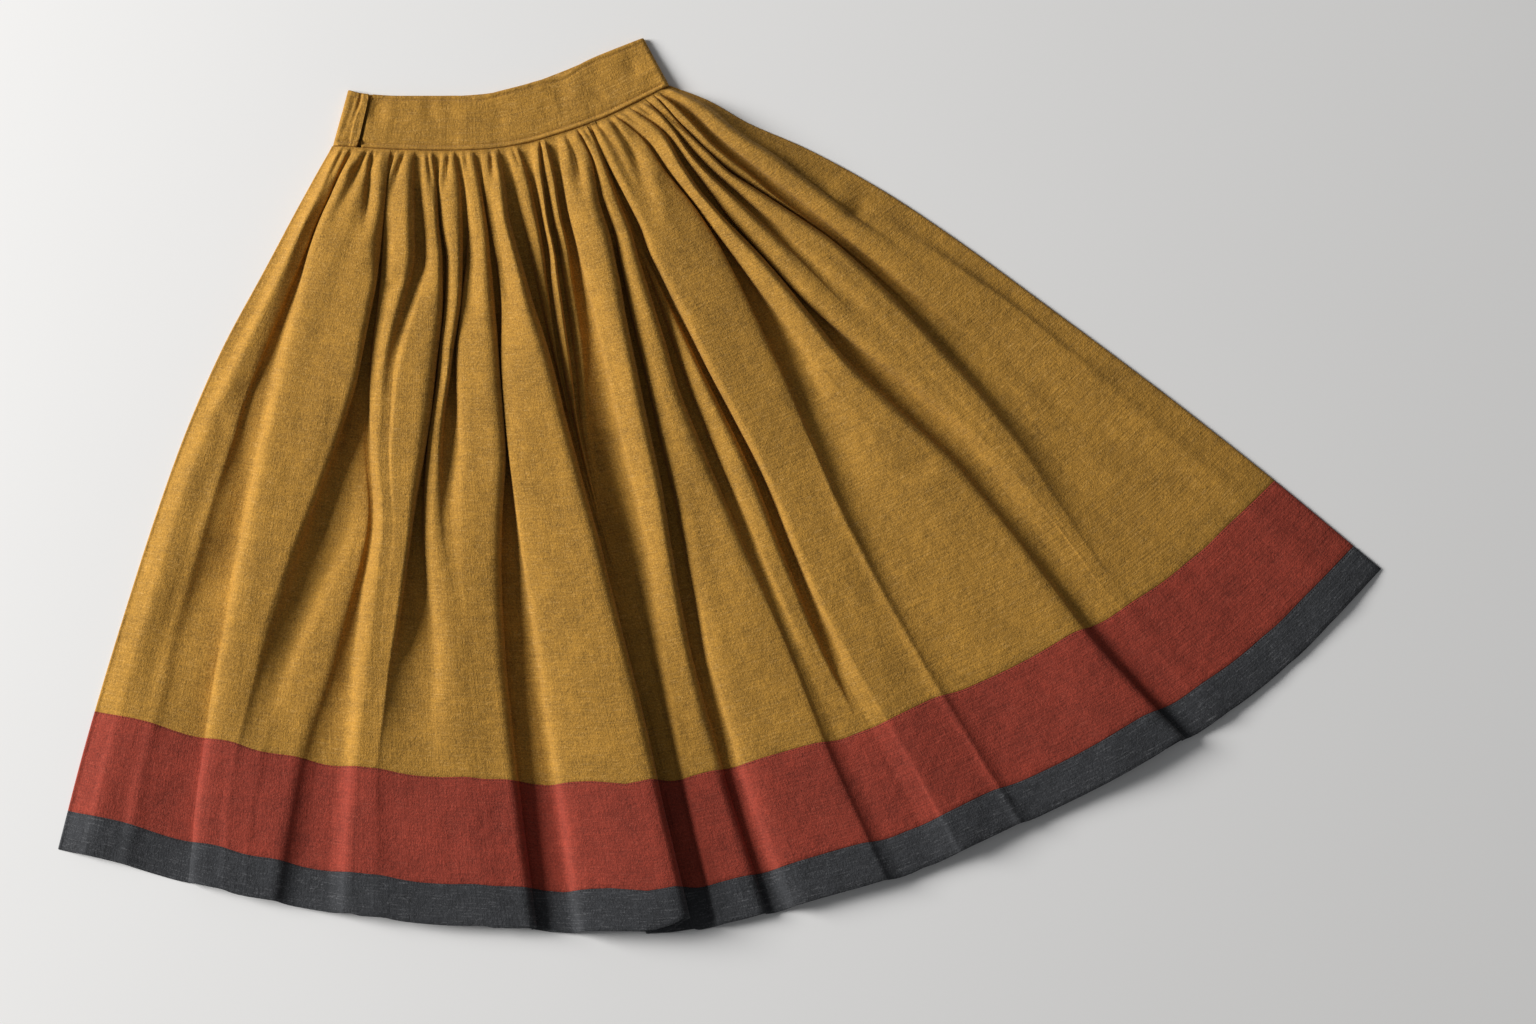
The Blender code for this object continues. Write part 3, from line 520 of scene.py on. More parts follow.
class FrontCloth:
    """The front's upper skin on a fine grid of t, with one column for each line along the folds."""

    def __init__(self):
        self.t = np.linspace(0, 1, 321) ** 1.25
        self.make_knots()
        self.make_columns()
        self.raise_gathers()
        self.press_creases()

    def station_curve(self, values):
        """Read a row of the table at every t of the grid."""
        return curve(STATIONS, values)(self.t)

    def wobble(self, seed):
        """Return how a fold's edge wanders along its length, as a share of the width."""
        wander = soft_noise(100 + seed, self.t, 0.0, 8, 1)
        wander = wander + 0.5 * soft_noise(200 + seed, self.t, 0.0, 19, 1)
        return EDGE_WANDER * wander * soft_step(self.t / 0.15) / panel_width(self.t)

    def side(self, table, fold, rise):
        """Return how far a fold's side runs out from its edge, as a share of the width, and its softness."""
        run = FLANK_PER_RISE * rise + SOFT_FLANK * np.exp(-np.maximum(rise, 0) / SOFT_RISE)
        run = np.maximum(np.maximum(run, 0.5), self.station_curve(table.get(fold.name, NOTHING)))
        soft = soft_step((run / np.maximum(rise, 1.0) - SOFT_FROM) / SOFT_OVER)
        return run / panel_width(self.t), soft

    def tuck(self, table, fold, rise, soft, more):
        """Return how far a fold's edge leans over the trough, as a share of the width."""
        lean = self.station_curve(table.get(fold.name, NOTHING))
        lean = (lean + more * np.maximum(rise - 4, 0) * (1 - soft)) * soft_step(rise / 6)
        return lean * soft_step((self.t - 0.01) / 0.08) / panel_width(self.t)

    def make_knots(self):
        """Set the lines along each fold: its feet, turns, edges and top."""
        zero = np.zeros_like(self.t)
        lefts, rights, crests, valleys = [], [zero], [], [zero]
        for k, row in enumerate(FOLDS):
            left, right, crest, valley = (self.station_curve(v) for v in row[1:])
            lefts.append(left + self.wobble(2 * k))
            rights.append(right + self.wobble(2 * k + 1))
            crests.append(RELIEF * crest)
            valleys.append(RELIEF * valley)
        lefts.append(zero + 1)
        outs_left, outs_right = [], [(zero, zero)]
        for k, row in enumerate(FOLDS):
            outs_left.append(self.side(LEFT_RUNS, row, crests[k] - valleys[k]))
            outs_right.append(self.side(RIGHT_RUNS, row, crests[k] - valleys[k + 1]))
        outs_left.append((zero, zero))
        fits = []
        for k in range(len(FOLDS) + 1):
            wanted = np.maximum(outs_right[k][0] + outs_left[k][0], 1e-6)
            fits.append(np.minimum(1, GAP_MOST * (lefts[k] - rights[k]) / wanted))
        knots = [(zero, zero, zero, 0.0)]
        steps = []
        for k, row in enumerate(FOLDS):
            left, right, crest = lefts[k], rights[k + 1], crests[k]
            low, valley = valleys[k], valleys[k + 1]
            (out_left, soft_left), (out_right, soft_right) = outs_left[k], outs_right[k + 1]
            out_left, out_right = out_left * fits[k], out_right * fits[k + 1]
            rise_left, rise_right = crest - low, crest - valley
            lean_left = self.tuck(LEFT_TUCKS, row, rise_left, soft_left, 0.0)
            lean_right = self.tuck(RIGHT_TUCKS, row, rise_right, soft_right, TUCK_PER_RISE)
            lips = [blend((LOW_LIP, HIGH_LIP), soft_step((rise - LOW_RISE) / HIGH_RISE))
                    for rise in (rise_left, rise_right)]
            lip_left = blend((lips[0], SOFT_LIP), soft_left)
            lip_right = blend((lips[1] + RIGHT_LIP_MORE, SOFT_LIP), soft_right)
            turn_left = blend(TURN_HEIGHT, soft_left)
            turn_right = blend(TURN_HEIGHT, RIGHT_TURN_SOFTNESS * soft_right)
            width = right - left
            foot, turn, edge_left = DRAWN_LEFT
            knots.append((left - out_left + lean_left, low, foot * low, 0.0))
            knots.append((left - blend(LEFT_TURN_AT, soft_left) * out_left + LEFT_TURN_LEAN * lean_left,
                          low + turn_left * lip_left * rise_left, turn * low, 0.0))
            knots.append((left, low + lip_left * rise_left, edge_left * crest, 0.0))
            wide = np.maximum(width * panel_width(self.t), 1.0)
            near_left = np.minimum(EDGE_SHARE, LEFT_EDGE_MM / wide)
            near_right = 1 - np.minimum(EDGE_SHARE, RIGHT_EDGE_MM / wide)
            left_top, middle_top = blend(LEFT_TOP, soft_left), blend(MIDDLE_TOP, soft_left)
            tilt = self.station_curve(TILTS.get(row.name, NOTHING))
            crown = ((near_left, left_top, tilt), (0.5, middle_top, 0.0), (near_right, 1.0, -tilt))
            for share, top, lift in crown:
                drawn = crest * (DRAWN_CROWN[0] + DRAWN_CROWN[1] * share)
                knots.append((left + share * width, low + top * rise_left + lift, drawn,
                              np.maximum(0.0, 2 * share - 1) * lean_right))
            edge_right, turn, foot = DRAWN_RIGHT
            knots.append((right, valley + lip_right * rise_right, edge_right * crest, lean_right))
            turn_out = blend(RIGHT_TURN_AT, soft_right) * out_right - RIGHT_TURN_LEAN * lean_right
            knots.append((right + turn_out, valley + turn_right * lip_right * rise_right, turn * crest, 0.0))
            foot_out = blend(RIGHT_FOOT_AT, soft_right) * out_right - lean_right
            knots.append((right + foot_out, valley, foot * valley, 0.0))
            crown_steps = int(np.clip(round(0.8 * WAIST_LENGTH * (row.right[0] - row.left[0]) / 4), 2, 8))
            steps += [3 if k == 0 else 2, 3, 3] + [crown_steps] * 4 + [3, 3]
        knots.append(((rights[-1] + 2) / 3, FLAT_SIDE_RISE * soft_step(self.t / 0.2), zero, 0.0))
        knots.append((zero + 1, zero, zero, 0.0))
        steps += [5, 6]
        self.knots = knots
        self.steps = steps

    def make_columns(self):
        """Spread the columns over the lines and read the surface there."""
        place = np.arange(len(self.knots), dtype=float)
        columns = [0.0]
        for k, count in enumerate(self.steps):
            columns += [k + (j + 1) / count for j in range(count)]
        columns = np.array(columns)
        widen = [np.broadcast_to(np.asarray(v), self.t.shape) for knot in self.knots for v in knot]
        s, height, drawn, tucked = (np.stack(widen[i::4], axis=1) for i in range(4))
        self.s = np.clip(read_curves(place, s, columns), 0, 1)
        self.height = read_curves(place, height, columns)
        self.drawn = read_curves(place, drawn, columns)
        self.tucked = read_curves(place, tucked * panel_width(self.t)[:, None], columns)
        self.plan = fan(self.s, self.t[:, None])

    def raise_gathers(self):
        """Lift the folds off the layer below and press the small gathers' valleys in at the waist."""
        t = self.t[:, None]
        height = self.height.copy()
        for valley in VALLEYS:
            run = np.clip(t / valley.end, 0, 1)
            centre = valley.s + (valley.low - valley.s) * run
            width = VALLEY_WIDTH + (valley.width - VALLEY_WIDTH) * run
            away = (self.s - centre) * panel_width(t) / width
            depth = valley.depth * (1 - soft_step((run - VALLEY_FEATHER) / (1 - VALLEY_FEATHER)))
            height -= VALLEY_RELIEF * depth * soft_step(t / 0.006) * np.exp(-0.5 * away ** 2)
        swell = sum(one.height * soft_noise(one.seed, t, self.s, one.down, one.across) for one in SWELLS)
        height += swell * soft_step(t / 0.1) * side_window(self.s)
        window = side_window(self.s)
        base = FRONT_ON_BACK + FRONT_OVER_GATHERS * gather_window(t) * window
        sewn = SIDE_AT_SEAM + (FRONT_AT_SEAM - SIDE_AT_SEAM) * window
        free = soft_step((t - SWELL_START) / SWELL)
        height = np.maximum(height, 0.0)
        self.z = sewn + (base + height - sewn) * free + SKIN

    def press_creases(self):
        """Press each crease into the cloth, or raise it."""
        for crease in CREASES:
            s, t = np.array(crease.path).T
            along = np.linspace(0, len(s) - 1, 12 * len(s))
            path = fan(np.interp(along, np.arange(len(s)), s), np.interp(along, np.arange(len(s)), t))
            margin = 3.5 * crease.width
            inside = (self.plan > path.min(axis=0) - margin) & (self.plan < path.max(axis=0) + margin)
            near = np.all(inside, axis=-1)
            points = self.plan[near]
            best = np.full(len(points), 1e9)
            share = np.zeros(len(points))
            for k in range(len(path) - 1):
                start, run = path[k], path[k + 1] - path[k]
                u = np.clip((points - start) @ run / (run @ run), 0, 1)
                away = np.linalg.norm(points - start - u[:, None] * run, axis=1)
                closer = away < best
                best = np.where(closer, away, best)
                share = np.where(closer, (k + u) / (len(path) - 1), share)
            ends = soft_step(share / 0.3) * soft_step((1 - share) / 0.4)
            self.z[near] += crease.depth * ends * np.exp(-0.5 * (best / crease.width) ** 2)
        self.z = np.maximum(self.z, FRONT_ON_BACK + SKIN)

    def seam(self, side, slope):
        """Return t of a seam across the front for every column: a raised fold draws it towards the waist."""
        row = int(np.searchsorted(self.t, side))
        drawn = self.evened(self.drawn[row], self.s[row], SEAM_EVEN)
        return side + slope * self.s[row] - SEAM_DRAW_PER_MM * drawn

    def evened(self, values, s, spread):
        """Return values across the front with their steps smoothed out."""
        places = np.linspace(0, 1, EVEN_PLACES)
        order = np.argsort(s, kind="stable")
        weights = np.exp(-0.5 * (np.arange(-EVEN_REACH, EVEN_REACH + 1) / spread) ** 2)
        padded = np.pad(np.interp(places, s[order], values[order]), EVEN_REACH, mode="edge")
        return np.interp(s, places, np.convolve(padded, weights / weights.sum(), mode="valid"))

    def hem_end(self):
        """Return t of the hem's edge for every column."""
        drawn = self.evened(self.drawn[-1], self.s[-1], HEM_EVEN)
        return 1 - HEM_DRAW_PER_MM * drawn - HEM_DRAW_PER_TUCK * self.tucked[-1]

    def rows(self, starts, ends, shares):
        """Return rows of points in mm, and their places in the cut, between two lines across the front."""
        t = starts + (ends - starts) * np.array(shares)[:, None]
        count = self.s.shape[1]
        read = [np.stack([np.interp(t[:, c], self.t, field[:, c]) for c in range(count)], axis=1)
                for field in (self.s, self.z)]
        plan = fan(read[0], t)
        nearer = read[1] * soft_step(t / CAMERA_FADE) / CAMERA_HIGH
        plan = plan + (CAMERA_OVER - plan) * nearer[..., None]
        points = np.concatenate([plan, read[1][..., None]], axis=-1)
        cut = np.stack([read[0] * HEM_LENGTH, t * PANEL_LENGTH], axis=-1)
        return points, cut


def with_rolled_sides(points, cut):
    """Add columns that roll both sides down to the surface."""
    rolls = ((0.7, 0.78), (1.2, 0.42), (1.3, 0.06))
    for side, inner in ((0, 1), (-1, -2)):
        out = points[:, side, :2] - points[:, inner, :2]
        out = out / np.maximum(np.linalg.norm(out, axis=1, keepdims=True), 1e-6)
        extra = []
        for away, share in rolls:
            column = points[:, side].copy()
            column[:, :2] += away * out
            column[:, 2] *= share
            extra.append(column)
        extra_cut = [cut[:, side]] * len(extra)
        if side == 0:
            points = np.concatenate([np.stack(extra[::-1], axis=1), points], axis=1)
            cut = np.concatenate([np.stack(extra_cut, axis=1), cut], axis=1)
        else:
            points = np.concatenate([points, np.stack(extra, axis=1)], axis=1)
            cut = np.concatenate([cut, np.stack(extra_cut, axis=1)], axis=1)
    return points, cut


# Meshes


def grid_normals(points):
    """Return the upward unit normals of a grid of points."""
    across = np.gradient(points, axis=1)
    down = np.gradient(points, axis=0)
    normal = np.cross(down, across)
    normal /= np.maximum(np.linalg.norm(normal, axis=-1, keepdims=True), 1e-9)
    return normal


def cloth_object(name, points, faces, cut, material):
    """Make an object at the origin from points in mm and their places in the cut."""
    mesh = bpy.data.meshes.new(name)
    mesh.from_pydata((np.asarray(points) * MM).tolist(), [], faces)
    layer = mesh.uv_layers.new(name="threads")
    corner_points = np.empty(len(mesh.loops), dtype=np.int32)
    mesh.loops.foreach_get("vertex_index", corner_points)
    layer.data.foreach_set("uv", (np.asarray(cut)[corner_points] * MM).ravel())
    mesh.materials.append(material)
    mesh.shade_smooth()
    mesh.validate()
    piece = bpy.data.objects.new(name, mesh)
    bpy.context.scene.collection.objects.link(piece)
    return piece


def wall_mesh(name, upper, cut, thickness, material, lower=None):
    """Make a closed wall of cloth below a grid of points, with a rounded rim."""
    if lower is None:
        lower = upper - grid_normals(upper) * thickness
    rows, width = upper.shape[:2]
    count = rows * width
    points = [upper.reshape(-1, 3), lower.reshape(-1, 3)]
    cuts = [cut.reshape(-1, 2), cut.reshape(-1, 2)]
    here = (np.arange(rows - 1)[:, None] * width + np.arange(width - 1)).ravel()
    quads = np.stack([here, here + width, here + width + 1, here + 1], axis=1)
    faces = quads.tolist() + (quads[:, ::-1] + count).tolist()
    last = rows - 1
    rim = np.concatenate([
        np.arange(width), np.arange(1, rows) * width + width - 1,
        np.arange(last * width + width - 2, last * width - 1, -1), np.arange(last - 1, 0, -1) * width])
    inner = np.clip(rim // width, 1, last - 1) * width + np.clip(rim % width, 1, width - 2)
    flat = points[0]
    out = flat[rim] - flat[inner]
    out /= np.maximum(np.linalg.norm(out, axis=1, keepdims=True), 1e-9)
    middle = (points[0][rim] + points[1][rim]) / 2 + out * 0.45 * thickness
    points.append(middle)
    cuts.append(cuts[0][rim])
    for layer in points:
        layer[:, 2] = np.maximum(layer[:, 2], LEAST_HEIGHT)
    loop = np.arange(len(rim))
    following = np.roll(loop, -1)
    middle_here, middle_next = 2 * count + loop, 2 * count + following
    after = rim[following]
    faces += np.stack([middle_next, middle_here, rim, after], axis=1).tolist()
    faces += np.stack([after + count, rim + count, middle_here, middle_next], axis=1).tolist()
    faces = [tuple(face) for face in faces]
    return cloth_object(name, np.concatenate(points), faces, np.concatenate(cuts), material)


def finish_cloth(piece, node):
    """Ride the piece on the root and hide the part of the model that it stands for."""
    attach(piece, ROOT)
    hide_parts(node)


# Materials


class Wire:
    """A socket with the usual operators, each of which adds a Math node."""

    def __init__(self, nodes, socket):
        self.nodes = nodes
        self.socket = socket

    def math(self, operation, *others, first=True):
        node = self.nodes.new("ShaderNodeMath")
        node.operation = operation
        values = [self, *others] if first else [*others, self]
        for place, value in enumerate(values):
            join(node.inputs[place], value)
        return Wire(self.nodes, node.outputs[0])

    def __add__(self, other):
        return self.math("ADD", other)

    __radd__ = __add__

    def __sub__(self, other):
        return self.math("SUBTRACT", other)

    def __rsub__(self, other):
        return self.math("SUBTRACT", other, first=False)

    def __mul__(self, other):
        return self.math("MULTIPLY", other)

    __rmul__ = __mul__


def join(socket, value):
    """Link a wire to a socket, or set a value on it."""
    if isinstance(value, Wire):
        value.nodes.id_data.links.new(value.socket, socket)
    else:
        socket.default_value = value


class Finish:
    """A material in the making."""

    def __init__(self, name):
        self.material = bpy.data.materials.new(name)
        self.material.use_nodes = True
        self.nodes = self.material.node_tree.nodes
        self.shader = self.nodes["Principled BSDF"]

    def node(self, kind, settings=None, output=0, **inputs):
        """Add a node: its settings come first, then the values or links of its sockets."""
        node = self.nodes.new(kind)
        for name, value in (settings or {}).items():
            setattr(node, name, value)
        for name, value in inputs.items():
            key = int(name[1:]) if name[0] == "_" else name.replace("_", " ")
            join(node.inputs[key], value)
        return Wire(self.nodes, node.outputs[output])

    def noise(self, vector, scale, detail, roughness=0.5):
        """Return a noise from -1 to 1 or so, round 0."""
        value = self.node("ShaderNodeTexNoise", Vector=vector, Scale=scale, Detail=detail,
                          Roughness=roughness)
        return value * 2.0 - 1.0

    def stretch(self, vector, scale):
        """Return the vector with each of its parts scaled."""
        return self.node("ShaderNodeVectorMath", {"operation": "MULTIPLY"}, _0=vector, _1=scale)


def cloth_finish(name, colour, pale, grain, settings):
    """Make brushed cloth: mottled colour, pale fibres, threads along and across, and a soft nap."""
    finish = Finish(name)
    place = finish.node("ShaderNodeTexCoord", output=3)
    threads = finish.node("ShaderNodeUVMap", {"uv_map": "threads"})
    cloudy = finish.noise(place, 24.0, 3.0, 0.55)
    patches = finish.noise(place, 95.0, 2.0, 0.6)
    fibres = finish.noise(place, 520.0, 2.0, 0.7)
    specks = finish.noise(place, 1150.0, 1.0)
    along = finish.noise(finish.stretch(threads, (420.0, 22.0, 1.0)), 1.0, 3.0, 0.6)
    across = finish.noise(finish.stretch(threads, (18.0, 560.0, 1.0)), 1.0, 2.0, 0.6)
    slubs = finish.noise(finish.stretch(threads, (55.0, 700.0, 1.0)), 1.0, 1.0)
    lift = cloudy * 0.26 + patches * 0.20 + along * (0.24 * grain) + across * (0.26 * grain)
    speckle = fibres * 0.55 + specks * 0.45
    shade = lift + speckle * 1.1 + 1.0
    base = finish.node("ShaderNodeVectorMath", {"operation": "SCALE"}, _0=(*colour,), Scale=shade)
    amount = finish.node("ShaderNodeMapRange", {"clamp": True}, _0=speckle + slubs * 0.8, _1=0.12, _2=0.80,
                         _3=0.0, _4=0.42)
    tint = finish.node("ShaderNodeMix", {"data_type": "RGBA"}, output=2, _0=amount, _6=base, _7=(*pale, 1.0))
    join(finish.shader.inputs["Base Color"], tint)
    join(finish.shader.inputs["Roughness"], speckle * 0.06 + 0.9)
    height = speckle * 1.2 + along * 0.4 + across * 0.6 + patches * 1.2
    bump = finish.node("ShaderNodeBump", Strength=settings.nap, Distance=0.0012, Height=height)
    join(finish.shader.inputs["Normal"], bump)
    finish.shader.inputs["Metallic"].default_value = 0.0
    finish.shader.inputs["Specular IOR Level"].default_value = 0.34
    finish.shader.inputs["Sheen Weight"].default_value = settings.sheen
    finish.shader.inputs["Sheen Roughness"].default_value = 0.5
    finish.material.diffuse_color = (*colour, 1.0)
    return finish.material


def thread_finish(name, colour):
    """Make sewing thread: a slightly glossy strand with an uneven colour."""
    finish = Finish(name)
    place = finish.node("ShaderNodeTexCoord", output=3)
    shade = finish.noise(place, 900.0, 1.0) * 0.25 + 1.0
    base = finish.node("ShaderNodeVectorMath", {"operation": "SCALE"}, _0=(*colour,), Scale=shade)
    join(finish.shader.inputs["Base Color"], base)
    finish.shader.inputs["Roughness"].default_value = 0.6
    return finish.material


def floor_finish(colour):
    """Make the plain pale floor, with a faint unevenness."""
    finish = Finish("pale_floor")
    place = finish.node("ShaderNodeTexCoord", output=3)
    shade = finish.noise(place, 1.6, 2.0) * 0.02 + 1.0
    base = finish.node("ShaderNodeVectorMath", {"operation": "SCALE"}, _0=(*colour,), Scale=shade)
    join(finish.shader.inputs["Base Color"], base)
    finish.shader.inputs["Roughness"].default_value = 0.85
    return finish.material


# Stitches


def stitch_tree(material):
    """Build the nodes that lay a row of stitches along each line of a mesh."""
    tree = bpy.data.node_groups.new("stitches_along_lines", "GeometryNodeTree")
    tree.interface.new_socket("Geometry", in_out="INPUT", socket_type="NodeSocketGeometry")
    sizes = {}
    for name in ("Pitch", "Length", "Width"):
        socket = tree.interface.new_socket(name, in_out="INPUT", socket_type="NodeSocketFloat")
        sizes[name] = socket.identifier
    tree.interface.new_socket("Geometry", in_out="OUTPUT", socket_type="NodeSocketGeometry")
    new, link = tree.nodes.new, tree.links.new
    given, made = new("NodeGroupInput"), new("NodeGroupOutput")
    lines = new("GeometryNodeMeshToCurve")
    spaced = new("GeometryNodeResampleCurve")
    spaced.mode = "LENGTH"
    strand = new("GeometryNodeMeshUVSphere")
    strand.inputs["Segments"].default_value = 6
    strand.inputs["Rings"].default_value = 4
    strand.inputs["Radius"].default_value = 0.5
    tangent = new("GeometryNodeInputTangent")
    turn = new("FunctionNodeAlignEulerToVector")
    turn.axis = "X"
    size = new("ShaderNodeCombineXYZ")
    lay = new("GeometryNodeInstanceOnPoints")
    real = new("GeometryNodeRealizeInstances")
    paint = new("GeometryNodeSetMaterial")
    paint.inputs["Material"].default_value = material
    link(given.outputs["Geometry"], lines.inputs["Mesh"])
    link(lines.outputs["Curve"], spaced.inputs["Curve"])
    link(given.outputs["Pitch"], spaced.inputs["Length"])
    link(spaced.outputs["Curve"], lay.inputs["Points"])
    link(strand.outputs["Mesh"], lay.inputs["Instance"])
    link(tangent.outputs["Tangent"], turn.inputs["Vector"])
    link(turn.outputs["Rotation"], lay.inputs["Rotation"])
    link(given.outputs["Length"], size.inputs["X"])
    link(given.outputs["Width"], size.inputs["Y"])
    link(given.outputs["Width"], size.inputs["Z"])
    link(size.outputs["Vector"], lay.inputs["Scale"])
    link(lay.outputs["Instances"], real.inputs["Geometry"])
    link(real.outputs["Geometry"], paint.inputs["Geometry"])
    link(paint.outputs["Geometry"], made.inputs["Geometry"])
    return tree, sizes


def stitch_rows(name, lines, material, pitch, length, width, slot):
    """Sew rows of stitches along lines of points in mm, and return them as one plain mesh."""
    mesh = bpy.data.meshes.new(name + "_lines")
    points = np.concatenate(lines) * MM
    edges = []
    start = 0
    for line in lines:
        edges += [(start + k, start + k + 1) for k in range(len(line) - 1)]
        start += len(line)
    mesh.from_pydata(points.tolist(), edges, [])
    guide = bpy.data.objects.new(name + "_lines", mesh)
    bpy.context.scene.collection.objects.link(guide)
    tree, sizes = stitch_tree(material)
    modifier = guide.modifiers.new("stitches", "NODES")
    modifier.node_group = tree
    modifier[sizes["Pitch"]] = pitch
    modifier[sizes["Length"]] = length
    modifier[sizes["Width"]] = width
    graph = bpy.context.evaluated_depsgraph_get()
    made = bpy.data.meshes.new_from_object(guide.evaluated_get(graph))
    made.name = name
    made.shade_smooth()
    bpy.data.objects.remove(guide)
    piece = bpy.data.objects.new(name, made)
    bpy.context.scene.collection.objects.link(piece)
    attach(piece, ROOT)
    return piece


def line_on_rows(points, cut, down, lift):
    """Return the line across a grid at a distance in mm from its first row (or last, if below 0)."""
    rows = points if down > 0 else points[::-1]
    places = cut if down > 0 else cut[::-1]
    normal = grid_normals(points)
    normals = normal if down > 0 else normal[::-1]
    share = np.abs(down) / np.maximum(np.abs(places[:, :, 1] - places[0, :, 1]), 1e-6)
    after = np.argmax(share <= 1, axis=0)
    column = np.arange(points.shape[1])
    far = np.abs(places[after, column, 1] - places[0, :, 1])
    near = np.abs(places[after - 1, column, 1] - places[0, :, 1])
    u = ((abs(down) - near) / np.maximum(far - near, 1e-6))[:, None]
    line = rows[after - 1, column] * (1 - u) + rows[after, column] * u
    return line + normals[after, column] * lift


# The waistband


def band_path():
    """Return the waistband's way round: shares across, levels, and which stretch each place is in."""
    front = np.linspace(BAND_START, 1 - BAND_TURN, 150)
    turn = np.linspace(0, math.pi, 11)[1:-1]
    back = np.linspace(1 - BAND_TURN, BAND_TURN, 60)
    lap = np.linspace(BAND_TURN, LAP_END, 34)
    shares = np.concatenate([front, 1 - BAND_TURN + BAND_TURN * np.sin(turn), back,
                             BAND_TURN - BAND_TURN * np.sin(turn), lap])
    levels = np.concatenate([front * 0 + 1, 0.5 + 0.5 * np.cos(turn), back * 0,
                             0.5 - 0.5 * np.cos(turn), lap * 0 + 1])
    kinds = np.repeat(BAND_STRETCHES, [len(part) for part in (front, turn, back, turn, lap)])
    return shares, levels, kinds


def bell(x, centre, width):
    """Return a soft bump of height 1."""
    return np.exp(-0.5 * ((x - centre) / width) ** 2)


def band_relief(shares, up, kinds):
    """Return how far the outer skin stands out or in, in mm, over the waistband."""
    s = shares[:, None]
    high = up[None, :] * BAND_HEIGHT
    relief = 1.2 * bell(high, 1.7, 1.1) - 0.9 * bell(high, LOW_STITCHES, 0.8)
    relief += 0.35 * bell(high, BAND_HEIGHT - 1.8, 1.2) - 0.5 * bell(high, BAND_HEIGHT - HIGH_STITCHES, 0.7)
    relief = relief + 0.30 * soft_noise(21, np.linspace(0, 1, len(shares))[:, None], up, 60, 5)
    front = (kinds == FRONT)[:, None]
    for ripple in RIPPLES:
        bump = bell(s * WAIST_LENGTH, ripple.s * WAIST_LENGTH, ripple.along) * bell(
            high, ripple.up * BAND_HEIGHT, ripple.high)
        relief += np.where(front, RIPPLE_RELIEF * ripple.depth * bump, 0)
    lap = (kinds == LAP)[:, None]
    from_end = (LAP_END - s) * WAIST_LENGTH - 2.2 * bell(high, 20, 12) + 0.7 * bell(high, 40, 5)
    strip = 0.9 * soft_step((7.0 - from_end) / 1.2)
    recess = -1.5 * bell(from_end, 8.4, 1.3) * (0.35 + 0.65 * soft_step((high - 30) / 12))
    pucker = -1.0 * bell(from_end, 14.0, 2.2) * bell(high, 26, 14)
    pucker -= 0.8 * bell(from_end, 19.0, 1.4) * bell(high, 12, 8)
    pucker += 0.8 * np.sin(high / 1.15) * bell(from_end, 12.6, 1.6) * bell(high, 17, 9)
    relief += np.where(lap, strip + recess + pucker, 0)
    return relief


